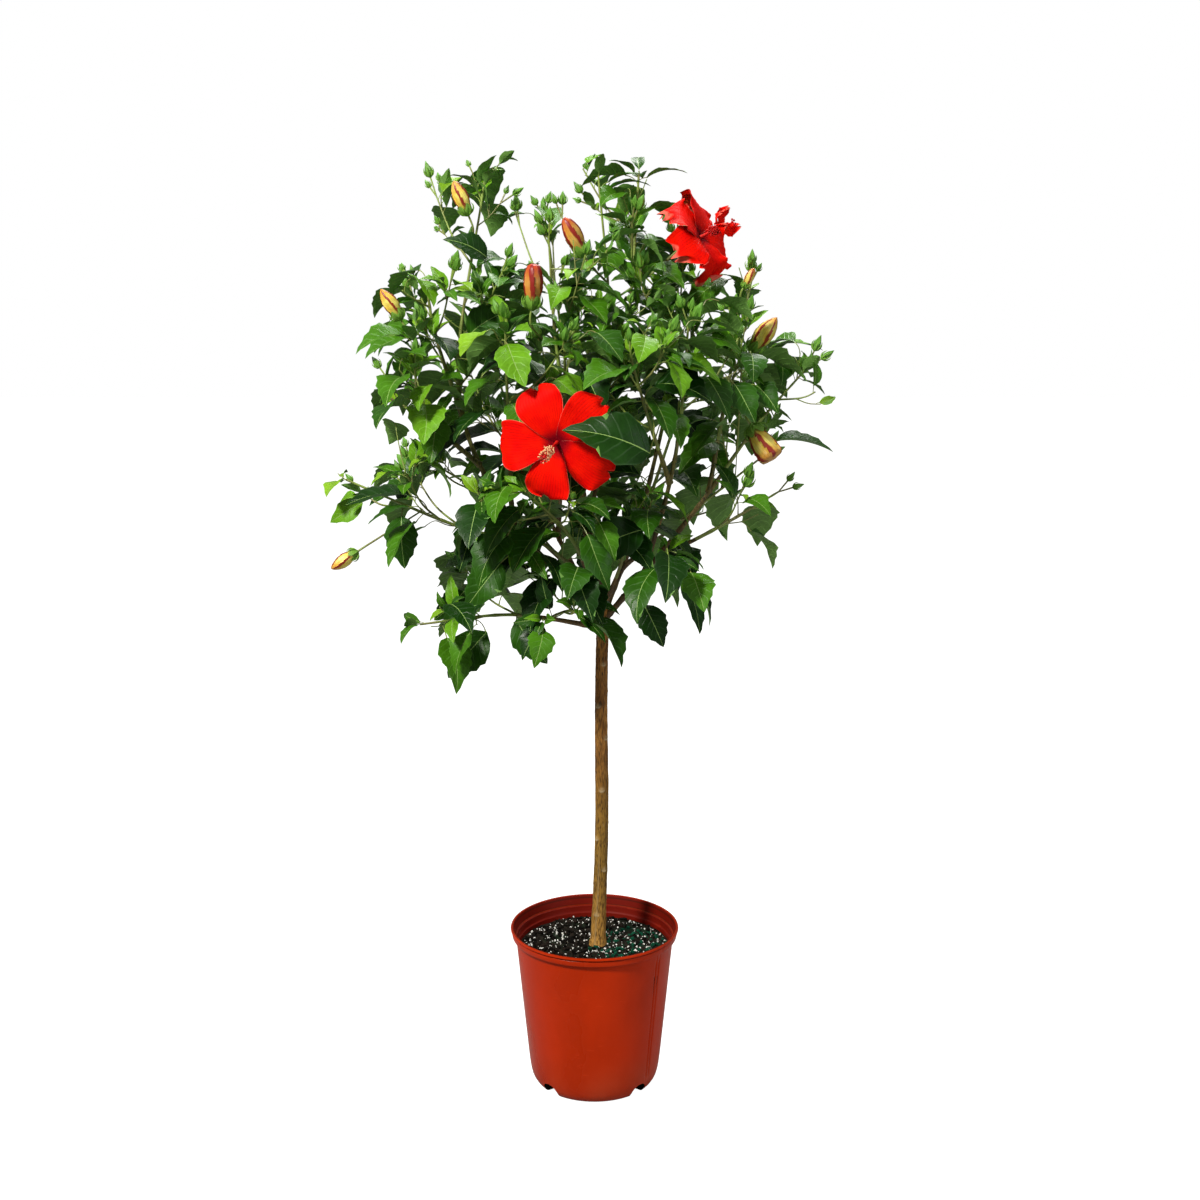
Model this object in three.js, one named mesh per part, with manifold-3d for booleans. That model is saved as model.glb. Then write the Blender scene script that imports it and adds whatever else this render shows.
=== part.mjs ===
// A red-flowering hibiscus shrub, trained as a small standard tree, in a plastic nursery pot.
// Millimetres, +Z up. The origin is the centre of the pot's flat underside, and the front is -Y.
// The trunk stands on the soil. Boughs leave it at the fork, and each bough ends in a mass of
// foliage: one stem with twigs, leaves and buds that follow a seeded rule.
import * as THREE from "three";
import { mergeVertices } from "three/addons/utils/BufferGeometryUtils.js";
import Module from "manifold-3d";

const wasm = await Module();
wasm.setup();

// Sizes of the pot
const POT_HEIGHT = 246;
const RIM_RADIUS = 127;
const RIM_BAND = 21;
const WALL = 2.4;
const WALL_TOP_RADIUS = 119;
const WALL_FOOT_RADIUS = 98;
const FOOT_RADIUS = 87;
const FOOT_RISE = 15;
const FLOOR = 3.5;
const POT_SEGMENTS = 32;
const DRAIN_COUNT = 4;
const DRAIN_WIDTH = 17;
const DRAIN_HEIGHT = 12;
const DRAIN_REACH = 30;

// Sizes of the soil
const SOIL_TOP = 215;
const SOIL_EDGE_DROP = 3;
const SOIL_FLAT_RADIUS = 24;

// The gap that neighbours keep
const GAP = 0.3;

// Sizes of the trunk: where it passes, and its radius at shares of its length
const TRUNK_PASSES = [[5, 0, SOIL_TOP - 2], [11, 0, 400], [10, 0, 600], [13, 0, 752]];
const TRUNK_RADII = [[0, 14], [0.03, 11.6], [0.12, 10.6], [0.5, 9.7], [0.85, 8.8], [1, 8.2]];
const TRUNK_RINGS = [0, 0.015, 0.03, 0.12, 0.24, 0.36, 0.5, 0.62, 0.74, 0.85, 0.93, 1];

// Sizes of boughs, stems and twigs
const BOUGH_FOOT_RADIUS = 4.6;
const SIDE_BOUGH_FOOT_RADIUS = 3.5;
const BOUGH_TIP_RADIUS = 2.8;
const STEM_TIP_RADIUS = 1.3;
const TWIG_FOOT_RADIUS = 1.7;
const TWIG_TIP_RADIUS = 1.3;
const TWIG_REACH = 0.42;
const TWIG_RISE = 0.2;
const SHORTEST_TWIG = 50;
const LONGEST_TWIG = 120;
const TWIG_BARE = 0.12;
const STEM_KEY = 50;

// Sizes of the leaves
const LEAF_SPACING = 44;
const LEAF_LENGTH = 98;
const LEAF_WIDTH = 0.66;
const LEAF_THICKNESS = 1.7;
const LEAF_WIDEST = 0.4;
const LEAF_FOLD = 0.1;
const LEAF_ARCH = 0.07;
const PETIOLE = 0.32;
const TIP_LEAF_LENGTH = 48;
const STEM_LEAF = 1.05;
const TWIG_LEAF = 0.95;
const LEAF_TAPER = 0.35;
const END_NODE = 0.93;
const LEAF_LIFT = 52;
const LIFT_SPREAD = 12;
const TURN_SPREAD = 0.5;
const ROLL_SPREAD = 0.5;
const LENGTH_SPREAD = 0.16;
const WIDTH_SPREAD = 0.12;
const RETRY_TURN = 0.7;
const GOLDEN_TURN = THREE.MathUtils.degToRad(137.5);

// Sizes of the buds and the open blooms
const GREEN_BUD_LENGTH = 24;
const GREEN_BUD_WIDTH = 11;
const GREEN_BUD_STALK = 18;
const STALK_RADIUS = 1.2;
const LARGE_BUD_WIDTH = 0.4;
const LARGE_BUD_SWELL = [[0, 0.35], [0.3, 1], [0.7, 0.9], [1, 0.25]];
const BUD_CHANCE = 0.45;
const BUD_SHARE = 0.97;
const PETAL_LENGTH = 82;
const PETAL_WIDTH = 58;
const PETAL_THICKNESS = 1.6;
const PETAL_COUNT = 5;
const PETAL_CUPPING = 0.0022;
const PETAL_ROOT = 4;
const COLUMN_LENGTH = 68;
const COLUMN_RADII = [[0, 3], [0.5, 2.2], [0.75, 6.5], [1, 3]];
const CUP_LENGTH = 34;
const CUP_RADII = [[0, 2], [0.5, 7.5], [1, 9]];
const BLOOM_STALK_RADIUS = 1.6;

// Clearances that the growing rule keeps, by balls over all that has grown. Growth may touch its
// own mass within its root's reach.
const LEAF_BALL = 4.6;
const TWIG_BALL = 3;
const PETAL_BALL = 6;
const BALL_STEP = 6;
const LEAF_BALL_STEP = 10;
const LEAF_BALL_WIDTH = 18;
const CLEAR = 1;
const LEAF_ROOT_REACH = 9;
const TWIG_ROOT_REACH = 14;
const TRIES = 4;

// The crown's space. Twigs and leaves that would leave it aren't grown.
const CROWN_LOW = [-376, -272, 640];
const CROWN_HIGH = [346, 300, 1384];

// Heights between which the masses turn from dark to bright green
const LOWEST_MASS = 720;
const HIGHEST_MASS = 1366;

const UP = new THREE.Vector3(0, 0, 1);

// The limbs. Each leaves its parent at a share of the parent's bare length, passes the given
// points in millimetres and ends at the last. Its first part, bare, is the bough, and the rest
// is the stem of its mass. leaf scales the leaves, and twigs is the number of side twigs.
const LIMBS = [
  { name: "centre", from: "trunk", at: 1,
    pass: [[13.4, 0, 772], [-18, 8, 897], [21, 18, 1119], [5, 0, 1362]], bare: 0.52, twigs: 3, leaf: 0.9 },
  { name: "left", from: "trunk", at: 0.93, pass: [[-125, -15, 880], [-192, 0, 1060], [-152, 15, 1345]],
    bare: 0.62, twigs: 3, leaf: 0.9 },
  { name: "right", from: "trunk", at: 0.92,
    pass: [[72, -14, 792], [150, -28, 893], [228, -8, 1000], [302, 15, 1082]],
    bare: 0.6, twigs: 3, leaf: 0.9 },
  { name: "back_left", from: "trunk", at: 0.92, pass: [[-80, 105, 880], [-165, 185, 1110]],
    bare: 0.45, twigs: 3, leaf: 0.95 },
  { name: "back_right", from: "trunk", at: 0.94, pass: [[85, 105, 890], [165, 190, 1120]],
    bare: 0.45, twigs: 3, leaf: 0.95 },
  { name: "low_left", from: "trunk", at: 0.9, pass: [[-120, -25, 732], [-258, -48, 722]],
    bare: 0.35, twigs: 3, leaf: 1 },
  { name: "low_front", from: "trunk", at: 0.87, pass: [[-28, -62, 745], [-70, -150, 752]],
    bare: 0.35, twigs: 2, leaf: 1.05 },
  { name: "inner_right", from: "trunk", at: 0.96, pass: [[38, -52, 812], [48, -92, 880]],
    bare: 0.35, twigs: 2, leaf: 0.95 },
  { name: "low_back", from: "trunk", at: 0.91, pass: [[20, 110, 790], [30, 225, 880]],
    bare: 0.4, twigs: 3, leaf: 1.05 },
  { name: "front", from: "trunk", at: 0.95, pass: [[-30, -80, 850], [-92, -150, 930]],
    bare: 0.4, twigs: 3, leaf: 0.95 },
  { name: "inner_front", from: "front", at: 0.5, pass: [[-62, -66, 836], [-104, -94, 862]],
    bare: 0.25, twigs: 2, leaf: 0.95 },
  { name: "top_right", from: "centre", at: 0.8, pass: [[45, 32, 1120], [64, 42, 1366]],
    bare: 0.3, twigs: 3, leaf: 0.85 },
  { name: "top_left", from: "centre", at: 0.9, pass: [[-52, -22, 1110], [-62, -36, 1262]],
    bare: 0.3, twigs: 3, leaf: 0.9 },
  { name: "middle", from: "centre", at: 0.55, pass: [[-35, -62, 1010], [-40, -112, 1130]],
    bare: 0.35, twigs: 2, leaf: 0.9 },
  { name: "top_back", from: "centre", at: 0.7, pass: [[-40, 100, 1070], [-70, 150, 1275]],
    bare: 0.3, twigs: 3, leaf: 0.85 },
  { name: "left_upper", from: "left", at: 0.94, pass: [[-222, -25, 1135], [-232, -45, 1226]],
    bare: 0.2, twigs: 3, leaf: 0.9 },
  { name: "left_middle", from: "left", at: 0.76, pass: [[-235, -52, 1015], [-305, -72, 1062]],
    bare: 0.3, twigs: 3, leaf: 0.88 },
  { name: "left_inner", from: "left", at: 0.5, pass: [[-118, -80, 1010], [-118, -128, 1140]],
    bare: 0.3, twigs: 2, leaf: 0.95 },
  { name: "far_left", from: "left", at: 0.38, pass: [[-200, -48, 868], [-360, -66, 940]],
    bare: 0.3, twigs: 3, leaf: 0.9 },
  { name: "right_upper", from: "right", at: 0.9, pass: [[196, 16, 1085], [224, 40, 1204]],
    bare: 0.2, twigs: 3, leaf: 0.88 },
  { name: "right_low", from: "right", at: 0.5, pass: [[182, -42, 866], [262, -30, 912]],
    bare: 0.3, twigs: 2, leaf: 1 },
  { name: "low_right", from: "right", at: 0.22, pass: [[95, -52, 800], [172, -96, 800]],
    bare: 0.3, twigs: 2, leaf: 1.05 },
  { name: "front_right", from: "right", at: 0.42,
    pass: [[104, -74, 925], [118, -112, 1025], [126, -128, 1150]], bare: 0.5, twigs: 3, leaf: 0.85 },
  { name: "centre_right", from: "front_right", at: 0.7, pass: [[72, -140, 1030], [48, -182, 1112]],
    bare: 0.25, twigs: 2, leaf: 0.85 },
  { name: "back_top_right", from: "back_right", at: 0.85, pass: [[120, 112, 1090], [120, 130, 1262]],
    bare: 0.25, twigs: 3, leaf: 0.85 },
  { name: "back_low_left", from: "back_left", at: 0.45, pass: [[-145, 120, 870], [-245, 150, 930]],
    bare: 0.3, twigs: 2, leaf: 1 },
  { name: "back_low_right", from: "back_right", at: 0.45, pass: [[150, 118, 862], [255, 150, 940]],
    bare: 0.3, twigs: 2, leaf: 1 },
  { name: "back_middle", from: "back_left", at: 0.8, pass: [[-40, 190, 1010], [-10, 262, 1090]],
    bare: 0.25, twigs: 3, leaf: 0.95 },
];

// Leaves that stand out at the front and at the crown's edge: where the blade begins, its tip,
// and how far its face turns from the front to the sky. Each grows from the nearest twig or stem.
const SHOWN_LEAVES = [
  { neck: [74, -215, 988], tip: [-35, -235, 1027], up: 0.3 },
  { neck: [-16, -120, 1092], tip: [14, -165, 1035], up: 0.3 },
  { neck: [229, -20, 1005], tip: [286, -40, 1035], up: 0.5 },
  { neck: [258, 0, 980], tip: [342, 0, 970], up: 0.9 },
  { neck: [125, -70, 928], tip: [235, -110, 884], up: 0.4 },
  { neck: [67, -120, 872], tip: [-17, -150, 837], up: 0.3 },
  { neck: [96, -60, 793], tip: [197, -80, 734], up: 0.1 },
  { neck: [71, -50, 752], tip: [99, -60, 692], up: 0 },
  { neck: [29, -90, 775], tip: [-23, -100, 679], up: 0 },
  { neck: [-269, -60, 1025], tip: [-319, -80, 1010], up: 0.7 },
  { neck: [-275, -60, 899], tip: [-190, -90, 974], up: 0.1 },
  { neck: [-300, -50, 906], tip: [-272, -40, 955], up: 0.1 },
  { neck: [-323, -70, 902], tip: [-369, -80, 878], up: 0.3 },
  { neck: [-268, -80, 885], tip: [-264, -95, 813], up: 0 },
  { neck: [-129, -100, 823], tip: [-179, -120, 761], up: 0.1 },
  { neck: [-184, -60, 774], tip: [-227, -70, 734], up: 0.2 },
  { neck: [-153, -60, 715], tip: [-211, -70, 648], up: 0.1 },
  { neck: [-110, -80, 737], tip: [-66, -90, 675], up: 0.1 },
  { neck: [-121, -120, 877], tip: [-78, -140, 792], up: 0.1 },
  { neck: [-222, -60, 1112], tip: [-327, -90, 1108], up: 0.6 },
  { neck: [-128, 0, 1270], tip: [-72, -20, 1285], up: 0.5 },
  { neck: [-149, -10, 1237], tip: [-201, -30, 1268], up: 0.4 },
  { neck: [-150, 0, 1300], tip: [-115, 0, 1351], up: 0.1 },
  { neck: [-172, -60, 1132], tip: [-111, -80, 1170], up: 0.2 },
  { neck: [-156, -70, 1129], tip: [-172, -90, 1047], up: 0 },
  { neck: [16, 0, 1299], tip: [-44, -10, 1332], up: 0.5 },
  { neck: [24, -20, 1215], tip: [-22, -40, 1238], up: 0.4 },
  { neck: [120, -120, 1096], tip: [45, -150, 1131], up: 0.4 },
  { neck: [212, -20, 1148], tip: [153, -40, 1118], up: 0.3 },
  { neck: [114, -150, 1085], tip: [42, -180, 1099], up: 0.5 },
];

// The large buds about to open: the limb, the share of its stem where the stalk leaves, the
// bud's foot and its tip
const LARGE_BUDS = [
  { on: "left", at: 0.72, foot: [-174, -15, 1295], tip: [-192, -22, 1340] },
  { on: "top_left", at: 0.8, foot: [-14, -50, 1239], tip: [-40, -60, 1290] },
  { on: "top_left", at: 0.25, foot: [-84, -90, 1169], tip: [-80, -96, 1229] },
  { on: "right", at: 0.35, foot: [218, -72, 1011], tip: [245, -88, 970] },
  { on: "far_left", at: 0.5, foot: [-329, -96, 837], tip: [-364, -106, 815] },
  { on: "left_upper", at: 0.3, foot: [-266, -50, 1154], tip: [-292, -55, 1195] },
  { on: "right_upper", at: 0.7, foot: [210, 0, 1196], tip: [223, -6, 1222] },
  { on: "right_upper", at: 0.35, foot: [221, 0, 1106], tip: [256, -10, 1155] },
];

// The open blooms: the limb, the share of its stem where the stalk leaves, the throat, the way
// the bloom faces and the angle of its first petal
const BLOOMS = [
  { on: "front", at: 0.62, throat: [-48, -192, 1000], faces: [-0.24, -0.96, -0.12], turn: 40 },
  { on: "centre", at: 0.6, throat: [146, -14, 1264], faces: [0.76, -0.48, 0.44], turn: 20 },
];

const COLOURS = {
  pot: 0xb8381c,
  soil: 0x2a2a24,
  bark: 0x7d6236,
  bough: 0x6f6a33,
  lowLeaf: 0x1d4416,
  highLeaf: 0x3f8a26,
};

// A number from 0 to 1 that follows from whole-number keys, the same in every run.
function chance(...keys) {
  let h = 0x9e3779b9;
  for (const key of keys) {
    h = Math.imul(h ^ key, 0x85ebca6b);
    h ^= h >>> 13;
    h = Math.imul(h, 0xc2b2ae35);
    h ^= h >>> 16;
  }
  return (h >>> 0) / 4294967296;
}

const vector = (numbers) => new THREE.Vector3(...numbers);

// A smooth curve through points.
function curveThrough(points) {
  return new THREE.CatmullRomCurve3(points, false, "catmullrom", 0.5);
}

// A value read from [share, value] pairs by straight steps.
function valueAt(pairs, share) {
  for (let i = 1; i < pairs.length; i++) {
    const [before, low] = pairs[i - 1];
    const [after, high] = pairs[i];
    if (share <= after) return low + ((high - low) * (share - before)) / (after - before);
  }
  return pairs[pairs.length - 1][1];
}

// The unit direction at an angle round a heading, square to it.
function directionRound(heading, angle) {
  const level = Math.abs(heading.z) > 0.98 ? new THREE.Vector3(1, 0, 0) : UP;
  const side = new THREE.Vector3().crossVectors(heading, level).normalize();
  const over = new THREE.Vector3().crossVectors(side, heading);
  return side.multiplyScalar(Math.cos(angle)).addScaledVector(over, Math.sin(angle));
}

// A closed geometry as a solid that can be cut and joined.
function solid(geometry) {
  const bare = geometry.clone();
  bare.deleteAttribute("normal");
  bare.deleteAttribute("uv");
  const merged = mergeVertices(bare, 1e-4);
  const corners = [];
  for (let i = 0; i < merged.index.count; i += 3) {
    const [a, b, c] = [0, 1, 2].map((k) => merged.index.getX(i + k));
    if (a !== b && b !== c && c !== a) corners.push(a, b, c);
  }
  return new wasm.Manifold(
    new wasm.Mesh({
      numProp: 3,
      vertProperties: merged.attributes.position.array,
      triVerts: new Uint32Array(corners),
    }),
  );
}

// Solids joined in pairs, then pairs of pairs, which keeps each join small.
function joined(solids) {
  while (solids.length > 1) {
    const pairs = [];
    for (let i = 0; i < solids.length; i += 2) {
      pairs.push(i + 1 < solids.length ? solids[i].add(solids[i + 1]) : solids[i]);
    }
    solids = pairs;
  }
  return solids[0];
}

// The largest piece of a solid, without loose scraps.
function largestPiece(whole) {
  return whole.decompose().reduce((best, piece) => (piece.volume() > best.volume() ? piece : best));
}

// A solid as a named mesh of one colour.
function meshOf(name, whole, colour, roughness) {
  const mesh = whole.getMesh();
  const geometry = new THREE.BufferGeometry();
  geometry.setAttribute("position", new THREE.BufferAttribute(mesh.vertProperties, 3));
  geometry.setIndex(new THREE.BufferAttribute(mesh.triVerts, 1));
  geometry.computeVertexNormals();
  const material = new THREE.MeshStandardMaterial({ color: colour, roughness, metalness: 0 });
  const made = new THREE.Mesh(geometry, material);
  made.name = name;
  return made;
}

// Shares in even steps from one to another.
const evenShares = (steps, from = 0, to = 1) =>
  Array.from({ length: steps + 1 }, (_, i) => from + ((to - from) * i) / steps);

// A tapering limb: a cylinder bent along a curve, with a ring at each of the given shares of it.
function limbSolid(curve, radiusAt, sides, shares) {
  const steps = shares.length - 1;
  const tube = new THREE.CylinderGeometry(1, 1, 1, sides, steps);
  const frames = [];
  for (const [i, share] of shares.entries()) {
    const heading = curve.getTangent(share);
    const side = i ? frames[i - 1].side.clone() : directionRound(heading, 0);
    side.addScaledVector(heading, -side.dot(heading)).normalize();
    const over = new THREE.Vector3().crossVectors(side, heading);
    frames.push({ centre: curve.getPoint(share), side, over, radius: radiusAt(share) });
  }
  const corners = tube.attributes.position;
  const corner = new THREE.Vector3();
  for (let i = 0; i < corners.count; i++) {
    corner.fromBufferAttribute(corners, i);
    const { centre, side, over, radius } = frames[Math.round((corner.y + 0.5) * steps)];
    const place = centre.clone().addScaledVector(side, corner.x * radius);
    place.addScaledVector(over, corner.z * radius);
    corners.setXYZ(i, place.x, place.y, place.z);
  }
  return solid(tube);
}

// A profile of [radius, height] pairs turned round the pot's axis.
function turnedSolid(profile) {
  const corners = profile.map(([radius, height]) => new THREE.Vector2(radius, height));
  const turned = new THREE.LatheGeometry(corners, POT_SEGMENTS);
  turned.rotateX(Math.PI / 2);
  return solid(turned);
}

// The pot: a turned wall with a rim band, steps inside the rim, and a sloped foot with drain
// notches.
function potSolid() {
  const bandFoot = POT_HEIGHT - RIM_BAND;
  const inner = WALL_TOP_RADIUS - WALL;
  const profile = [
    [0, 0], [FOOT_RADIUS, 0], [FOOT_RADIUS + 5, 4], [WALL_FOOT_RADIUS, FOOT_RISE],
    [WALL_TOP_RADIUS, bandFoot], [RIM_RADIUS - 1, bandFoot], [RIM_RADIUS, bandFoot + 2],
    [RIM_RADIUS, POT_HEIGHT - 1.5], [RIM_RADIUS - 3, POT_HEIGHT], [inner + 4, bandFoot + 6],
    [inner + 1, bandFoot + 4], [inner + 0.6, bandFoot - 4], [inner - 1.6, bandFoot - 7],
    [WALL_FOOT_RADIUS - WALL, FOOT_RISE + 1], [FOOT_RADIUS, FLOOR], [0, FLOOR],
  ];
  let pot = turnedSolid(profile);
  for (let i = 0; i < DRAIN_COUNT; i++) {
    const angle = ((i + 0.5) * 2 * Math.PI) / DRAIN_COUNT;
    const cutter = new THREE.CylinderGeometry(DRAIN_WIDTH / 2, DRAIN_WIDTH / 2, DRAIN_REACH, 10);
    cutter.rotateZ(Math.PI / 2);
    cutter.translate(FOOT_RADIUS + DRAIN_REACH / 2 - 2, 0, DRAIN_HEIGHT - DRAIN_WIDTH / 2);
    cutter.rotateZ(angle);
    pot = pot.subtract(solid(cutter));
  }
  return pot;
}

// The soil: it fills the pot up to its steps, a gap clear of the wall, with a flat middle.
function soilSolid() {
  const inner = WALL_TOP_RADIUS - WALL;
  const bandFoot = POT_HEIGHT - RIM_BAND;
  const edge = SOIL_TOP - SOIL_EDGE_DROP;
  const low = WALL_FOOT_RADIUS - WALL;
  const high = inner - 1.6;
  const share = (edge - FOOT_RISE) / (bandFoot - 7 - FOOT_RISE);
  const edgeRadius = low + (high - low) * share;
  const profile = [
    [0, FLOOR + GAP], [FOOT_RADIUS - 2, FLOOR + GAP], [low - 1, FOOT_RISE + 1],
    [edgeRadius - 0.6, edge], [SOIL_FLAT_RADIUS * 3, SOIL_TOP - 1.2], [SOIL_FLAT_RADIUS, SOIL_TOP],
    [0, SOIL_TOP],
  ];
  return turnedSolid(profile);
}

// What has grown so far, as balls, so that new growth can keep clear of it.
const grown = [];

// Balls along a curve.
function ballsAlong(curve, radiusAt, from, to, extra) {
  const length = curve.getLength() * (to - from);
  const count = Math.max(2, Math.ceil(length / BALL_STEP));
  const balls = [];
  for (let i = 0; i <= count; i++) {
    const share = from + ((to - from) * i) / count;
    balls.push({ centre: curve.getPoint(share), radius: radiusAt(share) + extra });
  }
  return balls;
}

// True if a place lies in the crown's space.
const inCrown = (place) =>
  place.toArray().every((value, axis) => value > CROWN_LOW[axis] && value < CROWN_HIGH[axis]);

// True if the new growth stays in the crown, and no ball of it comes near a ball of what has
// grown. Growth with the same owner may touch within reach of its own foot.
function isClear(balls, owner, foot, reach) {
  if (!balls.every((ball) => inCrown(ball.centre))) return false;
  for (const ball of balls) {
    for (const other of grown) {
      const least = ball.radius + other.radius + CLEAR;
      if (Math.abs(ball.centre.z - other.centre.z) > least) continue;
      if (ball.centre.distanceToSquared(other.centre) > least * least) continue;
      if (other.owner === owner && ball.centre.distanceTo(foot) < reach) continue;
      return false;
    }
  }
  return true;
}

function keep(balls, owner) {
  for (const ball of balls) grown.push({ ...ball, owner });
}

// A blade between its neck and its tip, on a petiole from its foot. Its face points along normal.
function bladeAt(foot, neck, tip, facing, width) {
  const blade = tip.clone().sub(neck);
  const length = blade.length();
  blade.normalize();
  const normal = facing.clone().addScaledVector(blade, -facing.dot(blade)).normalize();
  const side = new THREE.Vector3().crossVectors(blade, normal);
  const waist = neck.clone().addScaledVector(blade, LEAF_WIDEST * length);
  waist.addScaledVector(normal, LEAF_ARCH * length);
  return { foot, neck, waist, tip, side, normal, length, width };
}

// A leaf that grows from a foot on a twig, turned round it by an angle.
function leafAt(foot, heading, angle, length, droop, keys, attempt) {
  const jitter = (purpose) => chance(...keys, attempt, purpose) * 2 - 1;
  const away = directionRound(heading, angle + TURN_SPREAD * jitter(1));
  const lift = THREE.MathUtils.degToRad(LEAF_LIFT + LIFT_SPREAD * jitter(2));
  const stalk = heading.clone().multiplyScalar(Math.cos(lift)).addScaledVector(away, Math.sin(lift));
  const blade = new THREE.Vector3(stalk.x, stalk.y, stalk.z * 0.5 - droop * (1 + 0.5 * jitter(3)));
  blade.normalize();
  const level = new THREE.Vector3().crossVectors(blade, UP);
  if (level.length() < 0.2) level.crossVectors(blade, away);
  level.normalize();
  const roll = ROLL_SPREAD * jitter(4);
  const face = new THREE.Vector3().crossVectors(level, blade);
  const facing = face.multiplyScalar(Math.cos(roll)).addScaledVector(level, Math.sin(roll));
  const full = length * (1 + LENGTH_SPREAD * jitter(5));
  const neck = foot.clone().addScaledVector(stalk, PETIOLE * full);
  const tip = neck.clone().addScaledVector(blade, full);
  return bladeAt(foot, neck, tip, facing, LEAF_WIDTH * full * (1 + WIDTH_SPREAD * jitter(6)));
}

// Balls over a leaf's blade and petiole.
function leafBalls(leaf) {
  const balls = ballsAlong(new THREE.LineCurve3(leaf.foot, leaf.neck), () => STALK_RADIUS, 0.3, 0.85, 0.3);
  const rows = Math.ceil(leaf.length / LEAF_BALL_STEP);
  for (let i = 0; i <= rows; i++) {
    const share = i / rows;
    const low = share < LEAF_WIDEST;
    const part = low ? share / LEAF_WIDEST : (share - LEAF_WIDEST) / (1 - LEAF_WIDEST);
    const centre = (low ? leaf.neck : leaf.waist).clone().lerp(low ? leaf.waist : leaf.tip, part);
    const open = low ? 0.35 + 0.65 * part : 1 - part;
    const across = Math.ceil((open * leaf.width) / LEAF_BALL_WIDTH);
    for (let k = -across; k <= across; k++) {
      const sideways = across ? (open * k) / across : 0;
      const place = centre.clone().addScaledVector(leaf.side, (0.85 * sideways * leaf.width) / 2);
      place.addScaledVector(leaf.normal, Math.abs(sideways) * LEAF_FOLD * leaf.length);
      balls.push({ centre: place, radius: LEAF_BALL });
    }
  }
  return balls;
}

// A leaf's solid: an octahedron whose lowest corner is sunk in the twig and whose highest is the
// tip. The other four make the folded waist.
function leafSolid(leaf) {
  const blade = new THREE.OctahedronGeometry(1);
  const corners = blade.attributes.position;
  for (let i = 0; i < corners.count; i++) {
    const [across, along, over] = [corners.getX(i), corners.getY(i), corners.getZ(i)].map(Math.round);
    const place = new THREE.Vector3();
    if (along < 0) {
      place.copy(leaf.foot);
    } else if (along > 0) {
      place.copy(leaf.tip);
    } else {
      place.copy(leaf.waist).addScaledVector(leaf.side, (across * leaf.width) / 2);
      place.addScaledVector(leaf.normal, Math.abs(across) * LEAF_FOLD * leaf.length);
      place.addScaledVector(leaf.normal, (over * LEAF_THICKNESS) / 2);
    }
    corners.setXYZ(i, place.x, place.y, place.z);
  }
  return solid(blade);
}

// A green bud on its stalk, which leaves a twig near its end.
function budAt(foot, heading, keys) {
  const lean = directionRound(heading, chance(...keys, 1) * 2 * Math.PI);
  const way = heading.clone().addScaledVector(lean, 0.3 + 0.4 * chance(...keys, 2));
  way.addScaledVector(UP, 0.35).normalize();
  const size = 0.8 + 0.4 * chance(...keys, 3);
  const start = foot.clone().addScaledVector(way, GREEN_BUD_STALK * (0.5 + 0.8 * chance(...keys, 4)));
  const tip = start.clone().addScaledVector(way, GREEN_BUD_LENGTH * size);
  return { foot, start, tip, width: GREEN_BUD_WIDTH * size };
}

// Balls over a bud and its stalk.
function budBalls(bud) {
  const stalk = new THREE.LineCurve3(bud.foot, bud.start);
  const body = new THREE.LineCurve3(bud.start, bud.tip);
  return [
    ...ballsAlong(stalk, () => STALK_RADIUS, 0.3, 1, 0),
    ...ballsAlong(body, () => bud.width / 2, 0, 1, 0),
  ];
}

// A green bud's solid: an octahedron with its foot sunk in the twig, widest at the bud's own waist.
function greenBudSolid(bud) {
  const spindle = new THREE.OctahedronGeometry(1);
  const corners = spindle.attributes.position;
  const way = bud.tip.clone().sub(bud.foot).normalize();
  const side = directionRound(way, 0);
  const over = directionRound(way, Math.PI / 2);
  const waist = bud.start.clone().lerp(bud.tip, 0.4);
  for (let i = 0; i < corners.count; i++) {
    const [across, along, deep] = [corners.getX(i), corners.getY(i), corners.getZ(i)].map(Math.round);
    const place = (along < 0 ? bud.foot : along > 0 ? bud.tip : waist).clone();
    place.addScaledVector(side, (-across * bud.width) / 2).addScaledVector(over, (deep * bud.width) / 2);
    corners.setXYZ(i, place.x, place.y, place.z);
  }
  return solid(spindle);
}

// A large bud's solid: a swelling body with its foot sunk over the end of a bent stalk.
function largeBudSolid(bud) {
  const line = new THREE.LineCurve3(bud.start, bud.tip);
  const radiusAt = (share) => (bud.width / 2) * valueAt(LARGE_BUD_SWELL, share);
  const body = limbSolid(line, radiusAt, 4, evenShares(3));
  return body.add(limbSolid(bud.stalk, () => STALK_RADIUS, 3, evenShares(3)));
}

// The trunk's curve and radius.
const trunk = {
  name: "trunk",
  curve: curveThrough(TRUNK_PASSES.map(vector)),
  radiusAt: (share) => valueAt(TRUNK_RADII, share),
  bare: 1,
  sides: 10,
  rings: TRUNK_RINGS,
};

// Each limb's curve and radius, from its parent outwards.
const limbs = new Map([["trunk", trunk]]);
LIMBS.forEach((plan, index) => {
  const parent = limbs.get(plan.from);
  const leader = plan.at === 1;
  const foot = parent.curve.getPoint(plan.at * parent.bare);
  if (leader) foot.z += GAP;
  const curve = curveThrough([foot, ...plan.pass.map(vector)]);
  const footRadius = plan.from === "trunk" ? BOUGH_FOOT_RADIUS : SIDE_BOUGH_FOOT_RADIUS;
  const start = leader ? parent.radiusAt(1) : footRadius;
  const radii = [[0, start], [plan.bare, BOUGH_TIP_RADIUS], [1, STEM_TIP_RADIUS]];
  const radiusAt = (share) => valueAt(radii, share);
  const sides = leader ? 8 : 5;
  const rings = evenShares(leader ? 6 : 4, 0, plan.bare);
  limbs.set(plan.name, { ...plan, index, parent, curve, radiusAt, sides, rings, leaves: [], buds: [] });
});
const growing = LIMBS.map((plan) => limbs.get(plan.name));

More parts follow.
